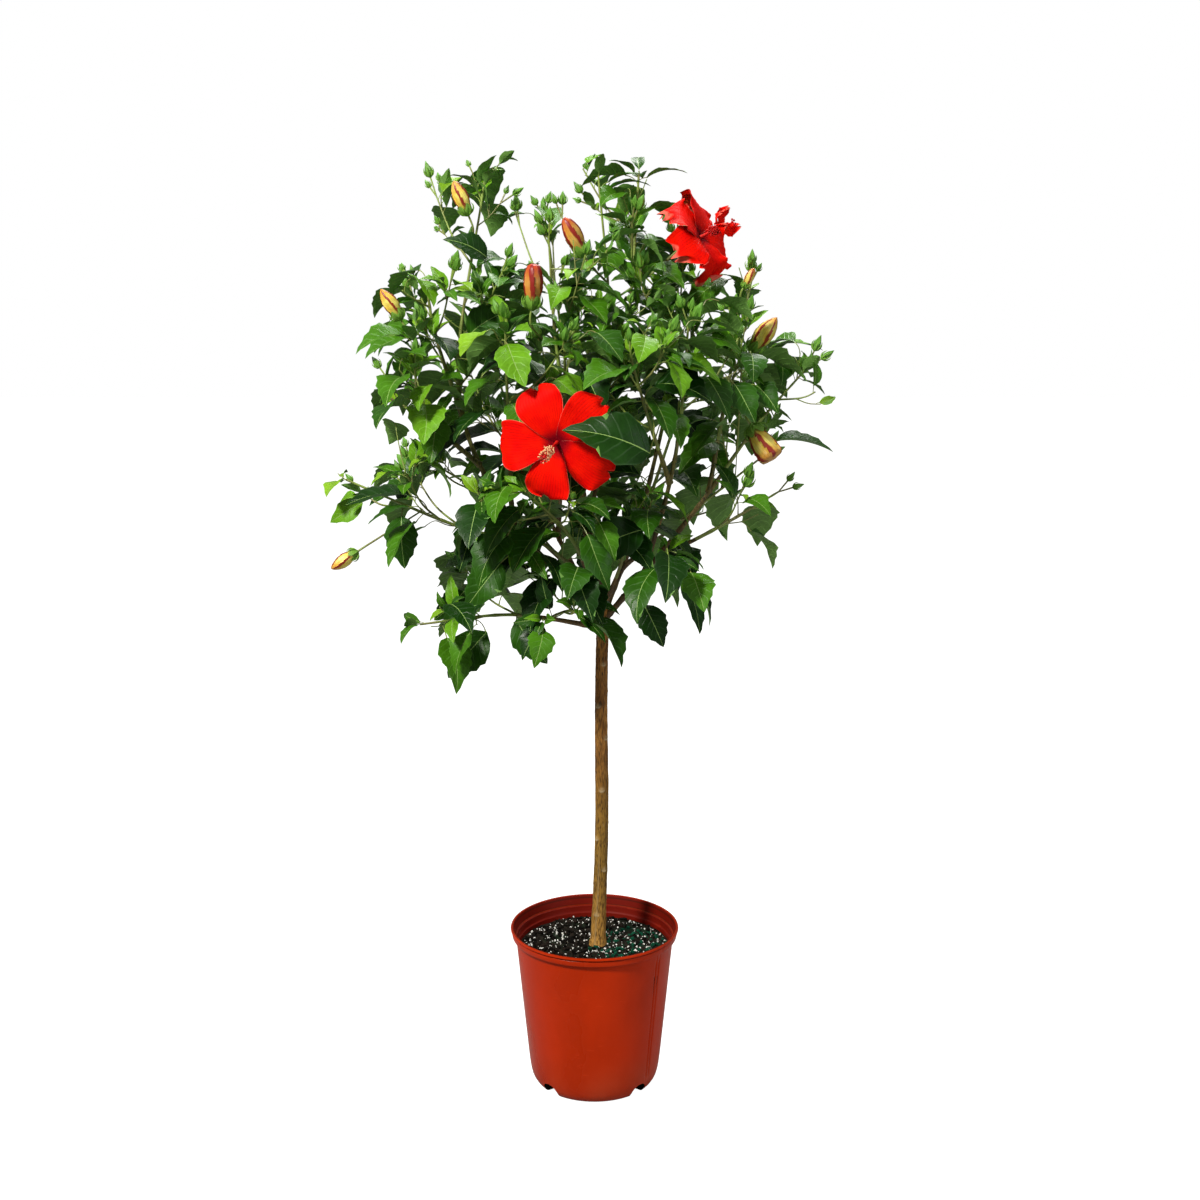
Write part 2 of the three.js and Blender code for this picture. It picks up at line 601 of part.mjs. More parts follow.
// The blooms' stalks, throats and frames.
const blooms = BLOOMS.map((plan) => {
  const limb = limbs.get(plan.on);
  const foot = limb.curve.getPoint(limb.bare + (1 - limb.bare) * plan.at);
  const faces = vector(plan.faces).normalize();
  const throat = vector(plan.throat);
  const back = throat.clone().addScaledVector(faces, -CUP_LENGTH);
  const stalk = curveThrough([foot, foot.clone().lerp(back, 0.55).addScaledVector(UP, -4), back]);
  const side = new THREE.Vector3().crossVectors(faces, UP).normalize().negate();
  const over = new THREE.Vector3().crossVectors(side, faces).negate();
  return { ...plan, limb, faces, throat, back, stalk, side, over };
});

// The petals' middle line and width at a share of their length, away from the throat and forwards.
const petalOut = (share) => PETAL_LENGTH * (0.06 + 0.9 * Math.sin(share * 1.45));
const petalForward = (share) => PETAL_LENGTH * (0.34 * share - 0.42 * share * share);
const petalHalf = (share) => (PETAL_WIDTH / 2) * Math.pow(Math.sin(Math.PI * Math.pow(share, 1.35)), 0.7);

// The radial directions of a bloom's petals: out from the throat and across the petal.
function petalFrames(bloom) {
  return Array.from({ length: PETAL_COUNT }, (_, k) => {
    const angle = THREE.MathUtils.degToRad(bloom.turn) + (k * 2 * Math.PI) / PETAL_COUNT;
    const out = bloom.side.clone().multiplyScalar(Math.cos(angle));
    out.addScaledVector(bloom.over, Math.sin(angle));
    return { out, across: new THREE.Vector3().crossVectors(bloom.faces, out) };
  });
}

// Balls over a bloom.
function bloomBalls(bloom) {
  const end = bloom.throat.clone().addScaledVector(bloom.faces, COLUMN_LENGTH);
  const column = new THREE.LineCurve3(bloom.back, end);
  const balls = ballsAlong(bloom.stalk, () => BLOOM_STALK_RADIUS, 0.05, 1, 0.4);
  balls.push(...ballsAlong(column, () => PETAL_BALL, 0, 1, 0));
  for (const { out, across } of petalFrames(bloom)) {
    for (let share = 0.1; share <= 1; share += 0.1) {
      for (const part of [-0.8, -0.4, 0, 0.4, 0.8]) {
        const centre = bloom.throat.clone().addScaledVector(out, petalOut(share));
        centre.addScaledVector(bloom.faces, petalForward(share));
        centre.addScaledVector(across, part * petalHalf(share));
        balls.push({ centre, radius: PETAL_BALL });
      }
    }
  }
  return balls;
}

// A bloom's solid: the stalk, a green cup, five flattened petals and the column in the middle.
function bloomSolid(bloom) {
  const mouth = bloom.throat.clone().addScaledVector(bloom.faces, 3);
  const end = bloom.throat.clone().addScaledVector(bloom.faces, COLUMN_LENGTH);
  const cup = new THREE.LineCurve3(bloom.back, mouth);
  const column = new THREE.LineCurve3(bloom.throat, end);
  const pieces = [
    limbSolid(bloom.stalk, () => BLOOM_STALK_RADIUS, 3, evenShares(5)),
    limbSolid(cup, (share) => valueAt(CUP_RADII, share), 6, evenShares(2)),
    limbSolid(column, (share) => valueAt(COLUMN_RADII, share), 5, evenShares(4)),
  ];
  for (const { out, across } of petalFrames(bloom)) {
    const petal = new THREE.SphereGeometry(1, 4, 6);
    const corners = petal.attributes.position;
    const corner = new THREE.Vector3();
    for (let i = 0; i < corners.count; i++) {
      corner.fromBufferAttribute(corners, i);
      const share = (1 - corner.y) / 2;
      const ring = Math.hypot(corner.x, corner.z);
      const wide = ring < 1e-3 ? 0 : (corner.x / ring) * petalHalf(share);
      const thick = ring < 1e-3 ? 0 : (corner.z / ring) * PETAL_THICKNESS;
      const cupped = PETAL_CUPPING * wide * wide;
      const place = bloom.throat.clone().addScaledVector(out, petalOut(share) - PETAL_ROOT);
      place.addScaledVector(bloom.faces, petalForward(share) + cupped + thick);
      place.addScaledVector(across, wide);
      corners.setXYZ(i, place.x, place.y, place.z);
    }
    pieces.push(solid(petal));
  }
  return joined(pieces);
}

// The bare limbs and the blooms come first, so that all foliage keeps clear of them.
keep(ballsAlong(trunk.curve, trunk.radiusAt, 0.6, 1, 1), "trunk");
for (const limb of growing) {
  keep(ballsAlong(limb.curve, limb.radiusAt, 0, limb.bare, 1), `bough ${limb.name}`);
  keep(ballsAlong(limb.curve, limb.radiusAt, limb.bare + 0.02, 1, 1), limb.name);
}
for (const bloom of blooms) keep(bloomBalls(bloom), bloom.on);

// Large buds and their stalks.
const largeBuds = LARGE_BUDS.map((plan) => {
  const limb = limbs.get(plan.on);
  const foot = limb.curve.getPoint(limb.bare + (1 - limb.bare) * plan.at);
  const start = vector(plan.foot);
  const tip = vector(plan.tip);
  const way = tip.clone().sub(start);
  const bend = start.clone().addScaledVector(way, -0.35);
  const sunk = start.clone().addScaledVector(way, 0.15);
  const stalk = curveThrough([foot, foot.clone().lerp(bend, 0.5), bend, sunk]);
  const bud = { start, tip, stalk, width: way.length() * LARGE_BUD_WIDTH, on: plan.on };
  keep(ballsAlong(stalk, () => TWIG_BALL, 0.05, 1, 0), plan.on);
  keep(ballsAlong(new THREE.LineCurve3(start, tip), () => bud.width / 2, 0, 1, 0), plan.on);
  return bud;
});

// The side twigs of each mass: they leave its stem by turns, rise, and stay clear of the rest.
function growTwigs(limb) {
  const twigs = [];
  const stemLength = limb.curve.getLength() * (1 - limb.bare);
  for (let k = 0; k < limb.twigs; k++) {
    for (let attempt = 0; attempt < TRIES; attempt++) {
      const random = (purpose) => chance(limb.index, k, attempt, purpose, 77);
      const share = 0.1 + (0.72 * (k + 0.6 * random(1))) / limb.twigs;
      const along = limb.bare + (1 - limb.bare) * share;
      const foot = limb.curve.getPoint(along);
      const heading = limb.curve.getTangent(along);
      const away = directionRound(heading, k * GOLDEN_TURN + attempt * 0.9 + random(2));
      const way = heading.clone().multiplyScalar(0.7).addScaledVector(away, 0.85).normalize();
      const wanted = (TWIG_REACH + 0.25 * random(3)) * stemLength * (1.2 - 0.45 * share);
      const length = THREE.MathUtils.clamp(wanted, SHORTEST_TWIG, LONGEST_TWIG);
      const middle = foot.clone().addScaledVector(way, length * 0.5);
      const end = foot.clone().addScaledVector(way, length * 0.92).addScaledVector(UP, length * TWIG_RISE);
      const curve = curveThrough([foot, middle, end]);
      const balls = ballsAlong(curve, () => TWIG_BALL, 0, 1, 0);
      if (!isClear(balls, limb.name, foot, TWIG_ROOT_REACH)) continue;
      keep(balls, limb.name);
      twigs.push({ curve, length, index: k });
      break;
    }
  }
  return twigs;
}

// The runs of a mass that carry leaves: its stem, and each of its twigs, with the shares of their
// curves where leaves leave them.
function runsOf(limb) {
  const stemLength = limb.curve.getLength() * (1 - limb.bare);
  const runs = [{ curve: limb.curve, from: limb.bare, length: stemLength, key: STEM_KEY, full: STEM_LEAF }];
  for (const twig of limb.twigsGrown) {
    const length = twig.length * (1 - TWIG_BARE);
    runs.push({ curve: twig.curve, from: TWIG_BARE, length, key: twig.index, full: TWIG_LEAF });
  }
  for (const run of runs) {
    const count = Math.floor(run.length / LEAF_SPACING);
    const shares = Array.from({ length: count }, (_, i) => (i + 0.5) / (count + 0.2));
    run.nodes = [...shares, END_NODE].map((share) => ({ share, along: run.from + (1 - run.from) * share }));
  }
  return runs;
}

// Adds growth to its mass if it keeps clear of the rest.
function growIfClear(limb, balls, foot, reach, grow) {
  if (!isClear(balls, limb.name, foot, reach)) return false;
  keep(balls, limb.name);
  grow();
  return true;
}

// The leaves that stand out, each on the nearest run of any mass.
function growShownLeaves() {
  for (const { neck, tip, up } of SHOWN_LEAVES) {
    const start = vector(neck);
    let best = { distance: Infinity };
    for (const limb of growing) {
      for (const { curve, nodes } of limb.runs) {
        for (const { along } of nodes) {
          const foot = curve.getPoint(along);
          const distance = foot.distanceTo(start);
          if (distance < best.distance) best = { distance, foot, limb };
        }
      }
    }
    const facing = new THREE.Vector3(0, up - 1, up + 0.1).normalize();
    const end = vector(tip);
    const leaf = bladeAt(best.foot, start, end, facing, LEAF_WIDTH * start.distanceTo(end));
    growIfClear(best.limb, leafBalls(leaf), best.foot, LEAF_ROOT_REACH, () => best.limb.leaves.push(leaf));
  }
}

// A bud at the end of some runs of a mass.
function growBud(limb, run) {
  if (chance(limb.index, run.key, 300) > BUD_CHANCE) return;
  const end = run.curve.getPoint(BUD_SHARE);
  const bud = budAt(end, run.curve.getTangent(BUD_SHARE), [limb.index, run.key, 200]);
  growIfClear(limb, budBalls(bud), end, TWIG_ROOT_REACH, () => limb.buds.push(bud));
}

// Leaves in turns along one run of a mass, with a small one at its end.
function growLeaves(limb, run) {
  for (const [number, { share, along }] of run.nodes.entries()) {
    const last = number === run.nodes.length - 1;
    const size = last ? TIP_LEAF_LENGTH / LEAF_LENGTH : run.full - LEAF_TAPER * share * share;
    const droop = 1.1 * size * limb.leaf - 0.35;
    const foot = run.curve.getPoint(along);
    const heading = run.curve.getTangent(along);
    for (let attempt = 0; attempt < TRIES; attempt++) {
      const turned = number * GOLDEN_TURN + run.key + attempt * RETRY_TURN;
      const keys = [limb.index, run.key, number];
      const leaf = leafAt(foot, heading, turned, LEAF_LENGTH * limb.leaf * size, droop, keys, attempt);
      if (growIfClear(limb, leafBalls(leaf), foot, LEAF_ROOT_REACH, () => limb.leaves.push(leaf))) break;
    }
  }
}

// All twigs grow before any leaf, so that leaves keep clear of them.
for (const limb of growing) {
  limb.twigsGrown = growTwigs(limb);
  limb.runs = runsOf(limb);
}
growShownLeaves();
for (const limb of growing) {
  for (const run of limb.runs) growBud(limb, run);
  for (const run of limb.runs) growLeaves(limb, run);
}

// A mass: its stem, twigs, leaves, buds and open blooms as one solid.
function massSolid(limb) {
  const start = limb.bare + GAP / limb.curve.getLength();
  const taper = (share) => TWIG_FOOT_RADIUS + (TWIG_TIP_RADIUS - TWIG_FOOT_RADIUS) * share;
  const own = (list) => list.filter((piece) => piece.on === limb.name);
  const sharesOf = (nodes) => nodes.map(({ along }) => along);
  const [stem, ...twigs] = limb.runs.map(({ curve, nodes }) => ({ curve, shares: sharesOf(nodes) }));
  return largestPiece(joined([
    ...own(blooms).map(bloomSolid),
    ...own(largeBuds).map(largeBudSolid),
    ...limb.buds.map(greenBudSolid),
    ...limb.leaves.map(leafSolid),
    ...twigs.map(({ curve, shares }) => limbSolid(curve, taper, 3, [0, ...shares, 1])),
    limbSolid(stem.curve, limb.radiusAt, 3, [start, ...stem.shares, 1]),
  ]));
}

// A trunk or bough that is wider than its own size by an extra.
const limbWith = (limb, extra) =>
  limbSolid(limb.curve, (share) => limb.radiusAt(share) + extra, limb.sides, limb.rings);

// The trunk, cut flat a gap above the soil.
function trunkSolid() {
  const below = new THREE.BoxGeometry(100, 100, 40);
  below.translate(0, 0, SOIL_TOP + GAP - 20);
  return limbWith(trunk, 0).subtract(solid(below));
}

// A bough: from inside its parent to where its mass begins, cut a gap clear of its parent and of
// the boughs made before it.
function boughSolid(limb, before) {
  const others = before.filter((other) => other !== limb.parent || limb.at < 1);
  const cut = others.reduce((left, other) => left.subtract(limbWith(other, GAP)), limbWith(limb, 0));
  return largestPiece(cut);
}

const group = new THREE.Group();
group.add(meshOf("pot", potSolid(), COLOURS.pot, 0.45));
group.add(meshOf("soil", soilSolid(), COLOURS.soil, 0.95));
group.add(meshOf("trunk", trunkSolid(), COLOURS.bark, 0.85));
growing.forEach((limb, index) => {
  const before = [trunk, ...growing.slice(0, index)];
  group.add(meshOf(`bough_${limb.name}`, boughSolid(limb, before), COLOURS.bough, 0.75));
});
for (const limb of growing) {
  const height = (limb.curve.getPoint(1).z - LOWEST_MASS) / (HIGHEST_MASS - LOWEST_MASS);
  const green = new THREE.Color(COLOURS.lowLeaf).lerp(new THREE.Color(COLOURS.highLeaf), height);
  group.add(meshOf(`foliage_${limb.name}`, massSolid(limb), green, 0.4));
}

export default group;
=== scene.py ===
# A red-flowering hibiscus shrub, trained as a small standard tree, in a plastic nursery pot.
# The shrub grows in millimetres by the same seeded rule as its solids, and is carried on to finer
# twigs. Its meshes are made in metres, +Z up, with the front at -Y.
import math

import bpy
import mathutils
import numpy as np
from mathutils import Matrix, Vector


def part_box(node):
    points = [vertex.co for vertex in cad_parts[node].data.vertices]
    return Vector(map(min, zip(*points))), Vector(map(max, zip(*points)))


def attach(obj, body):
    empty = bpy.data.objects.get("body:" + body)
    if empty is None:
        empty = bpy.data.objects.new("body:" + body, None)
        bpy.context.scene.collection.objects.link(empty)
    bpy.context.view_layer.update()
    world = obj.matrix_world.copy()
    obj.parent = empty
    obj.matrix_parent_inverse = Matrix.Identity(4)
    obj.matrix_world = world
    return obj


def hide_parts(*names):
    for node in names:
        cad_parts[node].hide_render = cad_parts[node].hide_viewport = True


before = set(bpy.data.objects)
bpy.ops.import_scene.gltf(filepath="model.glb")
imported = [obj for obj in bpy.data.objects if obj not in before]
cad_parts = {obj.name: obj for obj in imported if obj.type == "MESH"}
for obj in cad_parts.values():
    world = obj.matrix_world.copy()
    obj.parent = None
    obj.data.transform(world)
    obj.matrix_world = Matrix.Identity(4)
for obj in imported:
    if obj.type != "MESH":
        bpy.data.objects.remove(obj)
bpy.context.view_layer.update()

MM = 0.001

# Sizes of the pot and the soil, from the frame
pot_low, pot_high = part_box("pot")
soil_low, soil_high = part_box("soil")
POT_HEIGHT = pot_high.z / MM
RIM_RADIUS = pot_high.x / MM
SOIL_TOP = soil_high.z / MM
RIM_BAND = 16
LIP = 4.5
WALL = 2.4
WALL_TOP_RADIUS = RIM_RADIUS - 8
WALL_FOOT_RADIUS = 98
FOOT_RADIUS = 87
FOOT_RISE = 15
DRAIN_COUNT = 4
DRAIN_WIDTH = 26
DRAIN_HEIGHT = 19
SOIL_EDGE_DROP = 3

# The gap that neighbouring solids keep
GAP = 0.3

# Sizes of the trunk: where it passes, and its radius at shares of its length
TRUNK_PASSES = [[5, 0, SOIL_TOP - 2], [11, 0, 400], [10, 0, 600], [13, 0, 752]]
TRUNK_RADII = [[0, 14], [0.03, 11.6], [0.12, 10.6], [0.5, 9.7], [0.85, 8.8], [1, 8.2]]

# Sizes of boughs, stems and twigs
BOUGH_FOOT_RADIUS = 4.6
SIDE_BOUGH_FOOT_RADIUS = 3.5
BOUGH_TIP_RADIUS = 2.8
STEM_TIP_RADIUS = 1.3
TWIG_FOOT_RADIUS = 1.7
TWIG_TIP_RADIUS = 1.1
TWIG_REACH = 0.42
TWIG_RISE = 0.2
SHORTEST_TWIG = 50
LONGEST_TWIG = 120
TWIG_BARE = 0.12
STEM_KEY = 50

# Sizes of the leaves
LEAF_SPACING = 44
LEAF_LENGTH = 98
LEAF_WIDTH = 0.66
LEAF_WIDEST = 0.4
LEAF_FOLD = 0.1
LEAF_ARCH = 0.07
PETIOLE = 0.32
TIP_LEAF_LENGTH = 48
STEM_LEAF = 1.05
TWIG_LEAF = 0.95
LEAF_TAPER = 0.35
END_NODE = 0.93
LEAF_LIFT = 52
LIFT_SPREAD = 12
TURN_SPREAD = 0.5
ROLL_SPREAD = 0.5
LENGTH_SPREAD = 0.16
WIDTH_SPREAD = 0.12
RETRY_TURN = 0.7
GOLDEN_TURN = math.radians(137.5)

# Sizes of the fine twigs and small leaves that the solids leave out
FINE_LENGTH = 30
FINE_SPREAD = 24
FINE_RADIUS = 1.0
FINE_TIP_RADIUS = 0.7
FINE_LEAF = 80
FINE_TRIES = 6
FINE_BALL = 2.2
FINE_CHANCE = 0.52
SHOOT_CHANCE = 0.55
YOUNG_LEAVES = 6
YOUNG_LEAF = 46
YOUNG_WIDTH = 0.46
YOUNG_REACH = 26
YOUNG_LIFT = 62
YOUNG_LIFT_FALL = 40
YOUNG_LIFT_SPREAD = 14
YOUNG_TAPER = 0.62
YOUNG_PETIOLE = 0.22
YOUNG_ROOT_REACH = 75
YOUNG_STALK = 26
YOUNG_BALL = 1.2
BUDS_FROM = 900
FINE_CLEAR = 0.3
DISPLAY_CLEAR = 3
SHOWN_BUD = 16
SHOWN_BLOOM = 40
LEAF_HIDES = 0.2

# Sizes of the buds and the open blooms
GREEN_BUD_LENGTH = 24
GREEN_BUD_WIDTH = 11
GREEN_BUD_STALK = 18
STALK_RADIUS = 1.2
LARGE_BUD_WIDTH = 0.4
BUD_CHANCE = 0.45
BUD_SHARE = 0.97
PETAL_LENGTH = 82
PETAL_WIDTH = 58
PETAL_COUNT = 5
COLUMN_LENGTH = 68
CUP_LENGTH = 34
BLOOM_STALK_RADIUS = 1.6

# Clearances that the growing rule keeps, by balls over all that has grown. Growth may touch its
# own mass within its root's reach.
LEAF_BALL = 4.6
TWIG_BALL = 3
PETAL_BALL = 6
MOST_BALLS = 90000
BALL_STEP = 6
LEAF_BALL_STEP = 10
LEAF_BALL_WIDTH = 18
CLEAR = 1
LEAF_ROOT_REACH = 9
TWIG_ROOT_REACH = 14
TRIES = 4

# The crown's space. Twigs and leaves that would leave it aren't grown.
CROWN_LOW = np.array([-376, -272, 640])
CROWN_HIGH = np.array([346, 300, 1384])

# The camera: how far it stands to the side, before and above the foot of the pot, how far it looks
# down in degrees, and its lens and sensor in millimetres
VIEW_SIDE = 8.3
VIEW_DISTANCE = 2400
VIEW_HEIGHT = 1250
VIEW_TILT = 11.8
LENS = 50.55
SENSOR = 36

# Openings where the sky shows through the crown, as circles in the plane of the trunk: x, z, radius.
# They weren't chosen by hand. A scratch program that compared the sky in the photograph with the
# sky in renders printed them, and they were copied, some rounded.
OPENINGS = [
    [-50, 1370, 38], [-180, 1370, 20], [-110, 1320, 20], [-55, 1312, 18], [-18, 1290, 22],
    [-265, 1300, 30], [-92, 1256, 26], [-60, 1232, 20], [98, 1278, 18], [-252, 1254, 36],
    [-305, 1238, 45], [-198, 1224, 20], [255, 1250, 44], [298, 1202, 50], [-314, 1074, 22],
    [-362, 1030, 42], [-358, 975, 36], [-276, 972, 19], [334, 1004, 30], [300, 930, 34],
    [238, 928, 25], [298, 865, 45], [-210, 886, 26], [-338, 862, 21], [-236, 828, 29],
    [208, 800, 46], [220, 746, 32], [-254, 738, 18], [-322, 716, 30], [-312, 660, 45],
    [-245, 672, 28], [-135, 684, 24], [-158, 652, 20], [-40, 678, 25], [-299, 755, 37],
    [-97, 1333, 32], [-319, 976, 28], [97, 1277, 19], [-212, 1242, 20], [227, 939, 22], [176, 833, 21],
    [-238, 1347, 29], [-279, 1338, 42], [-190, 900, 19], [-46, 707, 18], [179, 805, 19],
    [113, 1339, 19], [-238, 799, 17], [338, 1071, 17], [-205, 874, 18], [270, 937, 26],
    [165, 781, 17], [-28, 678, 17], [-335, 936, 16], [-1, 1273, 22], [57, 698, 20], [-233, 1295, 18],
    [154, 865, 14], [-239, 1073, 14], [-149, 956, 13], [-219, 1043, 12], [-92, 636, 20],
    [-128, 1251, 15], [216, 947, 20],
]


def plans(parts, rows):
    """A dictionary for each row, with the given names for its parts."""
    return [dict(zip(parts.split(), row)) for row in rows]


# The limbs. Each leaves its parent at a share of the parent's bare length, passes the given
# points in millimetres and ends at the last. Its first part, bare, is the bough, and the rest
# is the stem of its mass. twigs is the number of side twigs, and leaf scales the leaves.
LIMBS = plans("name from at bare twigs leaf pass", [
    ("centre", "trunk", 1, 0.52, 3, 0.9, [[13.4, 0, 772], [-18, 8, 897], [21, 18, 1119], [5, 0, 1362]]),
    ("left", "trunk", 0.93, 0.62, 3, 0.9, [[-125, -15, 880], [-192, 0, 1060], [-152, 15, 1345]]),
    ("right", "trunk", 0.92, 0.6, 3, 0.9,
     [[72, -14, 792], [150, -28, 893], [228, -8, 1000], [302, 15, 1082]]),
    ("back_left", "trunk", 0.92, 0.45, 3, 0.95, [[-80, 105, 880], [-165, 185, 1110]]),
    ("back_right", "trunk", 0.94, 0.45, 3, 0.95, [[85, 105, 890], [165, 190, 1120]]),
    ("low_left", "trunk", 0.9, 0.35, 3, 1, [[-120, -25, 732], [-258, -48, 722]]),
    ("low_front", "trunk", 0.87, 0.35, 2, 1.05, [[-28, -62, 745], [-70, -150, 752]]),
    ("inner_right", "trunk", 0.96, 0.35, 2, 0.95, [[38, -52, 812], [48, -92, 880]]),
    ("low_back", "trunk", 0.91, 0.4, 3, 1.05, [[20, 110, 790], [30, 225, 880]]),
    ("front", "trunk", 0.95, 0.4, 3, 0.95, [[-30, -80, 850], [-92, -150, 930]]),
    ("inner_front", "front", 0.5, 0.25, 2, 0.95, [[-62, -66, 836], [-104, -94, 862]]),
    ("top_right", "centre", 0.8, 0.3, 3, 0.85, [[45, 32, 1120], [64, 42, 1366]]),
    ("top_left", "centre", 0.9, 0.3, 3, 0.9, [[-52, -22, 1110], [-62, -36, 1262]]),
    ("middle", "centre", 0.55, 0.35, 2, 0.9, [[-35, -62, 1010], [-40, -112, 1130]]),
    ("top_back", "centre", 0.7, 0.3, 3, 0.85, [[-40, 100, 1070], [-70, 150, 1275]]),
    ("left_upper", "left", 0.94, 0.2, 3, 0.9, [[-222, -25, 1135], [-232, -45, 1226]]),
    ("left_middle", "left", 0.76, 0.3, 3, 0.88, [[-235, -52, 1015], [-305, -72, 1062]]),
    ("left_inner", "left", 0.5, 0.3, 2, 0.95, [[-118, -80, 1010], [-118, -128, 1140]]),
    ("far_left", "left", 0.38, 0.3, 3, 0.9, [[-200, -48, 868], [-360, -66, 940]]),
    ("right_upper", "right", 0.9, 0.2, 3, 0.88, [[196, 16, 1085], [224, 40, 1204]]),
    ("right_low", "right", 0.5, 0.3, 2, 1, [[182, -42, 866], [262, -30, 912]]),
    ("low_right", "right", 0.22, 0.3, 2, 1.05, [[95, -52, 800], [172, -96, 800]]),
    ("front_right", "right", 0.42, 0.5, 3, 0.85, [[104, -74, 925], [118, -112, 1025], [126, -128, 1150]]),
    ("centre_right", "front_right", 0.7, 0.25, 2, 0.85, [[72, -140, 1030], [48, -182, 1112]]),
    ("back_top_right", "back_right", 0.85, 0.25, 3, 0.85, [[120, 112, 1090], [120, 130, 1262]]),
    ("back_low_left", "back_left", 0.45, 0.3, 2, 1, [[-145, 120, 870], [-245, 150, 930]]),
    ("back_low_right", "back_right", 0.45, 0.3, 2, 1, [[150, 118, 862], [255, 150, 940]]),
    ("back_middle", "back_left", 0.8, 0.25, 3, 0.95, [[-40, 190, 1010], [-10, 262, 1090]]),
])

# Leaves that stand out in the front: neck, tip and how far they face up. The one over the front
# bloom is dark.
SHOWN_LEAVES = [
    ([74, -215, 988], [-35, -235, 1027], 0.3),
    ([-16, -120, 1092], [14, -165, 1035], 0.3),
    ([229, -20, 1005], [286, -40, 1035], 0.5),
    ([258, 0, 980], [342, 0, 970], 0.9),
    ([125, -70, 928], [235, -110, 884], 0.4),
    ([67, -120, 872], [-17, -150, 837], 0.3),
    ([96, -60, 793], [197, -80, 734], 0.1),
    ([71, -50, 752], [99, -60, 692], 0),
    ([29, -90, 775], [-23, -100, 679], 0),
    ([-269, -60, 1025], [-319, -80, 1010], 0.7),
    ([-275, -60, 899], [-190, -90, 974], 0.1),
    ([-300, -50, 906], [-272, -40, 955], 0.1),
    ([-323, -70, 902], [-369, -80, 878], 0.3),
    ([-268, -80, 885], [-264, -95, 813], 0),
    ([-129, -100, 823], [-179, -120, 761], 0.1),
    ([-184, -60, 774], [-227, -70, 734], 0.2),
    ([-153, -60, 715], [-211, -70, 648], 0.1),
    ([-110, -80, 737], [-66, -90, 675], 0.1),
    ([-121, -120, 877], [-78, -140, 792], 0.1),
    ([-222, -60, 1112], [-327, -90, 1108], 0.6),
    ([-128, 0, 1270], [-72, -20, 1285], 0.5),
    ([-149, -10, 1237], [-201, -30, 1268], 0.4),
    ([-150, 0, 1300], [-115, 0, 1351], 0.1),
    ([-172, -60, 1132], [-111, -80, 1170], 0.2),
    ([-156, -70, 1129], [-172, -90, 1047], 0),
    ([16, 0, 1299], [-44, -10, 1332], 0.5),
    ([24, -20, 1215], [-22, -40, 1238], 0.4),
    ([120, -120, 1096], [45, -150, 1131], 0.4),
    ([212, -20, 1148], [153, -40, 1118], 0.3),
    ([114, -150, 1085], [42, -180, 1099], 0.5),
]
DARK_LEAF = 0

# Large coloured buds: the limb they grow on, where on its stem, their foot, their tip, how red
# they are, how far they open and how wide they are beside the usual
LARGE_BUDS = plans("on at foot tip red flare wide", [
    ("left", 0.72, [-174, -15, 1295], [-192, -22, 1340], 0.25, 0.15, 1),
    ("top_left", 0.8, [-14, -50, 1239], [-40, -60, 1290], 0.75, 0.25, 1),
    ("top_left", 0.25, [-84, -90, 1169], [-80, -96, 1229], 0.9, 0.55, 1),
    ("right", 0.35, [216, -92, 1012], [243, -112, 968], 0.3, 1, 1.35),
    ("far_left", 0.5, [-329, -96, 837], [-364, -106, 815], 0.15, 0.1, 1),
    ("left_upper", 0.3, [-266, -50, 1154], [-292, -55, 1195], 0.05, 0, 1),
    ("right_upper", 0.7, [210, 0, 1196], [223, -6, 1222], 0.45, 0.3, 1),
    ("right_upper", 0.35, [221, 0, 1106], [256, -10, 1155], 0.2, 0, 1),
])

# The open blooms: where they grow, their throat, the way they face, the turn and the sizes of
# their petals, how wide, bent back and ruffled these are, the size of the column, where anthers
# sit along it and which finish they have
BLOOMS = [
    {"on": "front", "at": 0.62, "throat": [-48, -192, 1000], "faces": [-0.24, -0.96, -0.12], "turn": 40,
     "sizes": [1, 1, 1, 1, 1], "spread": 1, "reflex": 0.03, "ruffle": 1,
     "column": 1, "anthers": [0.48, 0.92], "finish": 1},
    {"on": "centre", "at": 0.6, "throat": [146, -14, 1264], "faces": [0.76, -0.48, 0.44], "turn": -16,
     "sizes": [0.95, 0.98, 0.7, 0.62, 0.72], "spread": 0.94, "reflex": 0.09, "ruffle": 1.9,
     "column": 0.8, "anthers": [0.3, 0.62], "finish": 2},
]


UP = np.array([0.0, 0.0, 1.0])
random = np.random.default_rng(7)


def chance(*keys):
    """A number from 0 to 1 that follows from whole-number keys, the same in every run."""
    mixed = 0x9E3779B9
    for key in keys:
        mixed = ((mixed ^ key) * 0x85EBCA6B) & 0xFFFFFFFF
        mixed ^= mixed >> 13
        mixed = (mixed * 0xC2B2AE35) & 0xFFFFFFFF
        mixed ^= mixed >> 16
    return mixed / 2**32


def unit(vectors):
    """Vectors brought to a length of one."""
    return vectors / np.linalg.norm(vectors, axis=-1, keepdims=True)


def value_at(pairs, shares):
    """Values read from [share, value] pairs by straight steps."""
    table = np.array(pairs, float)
    return np.interp(shares, table[:, 0], table[:, 1])


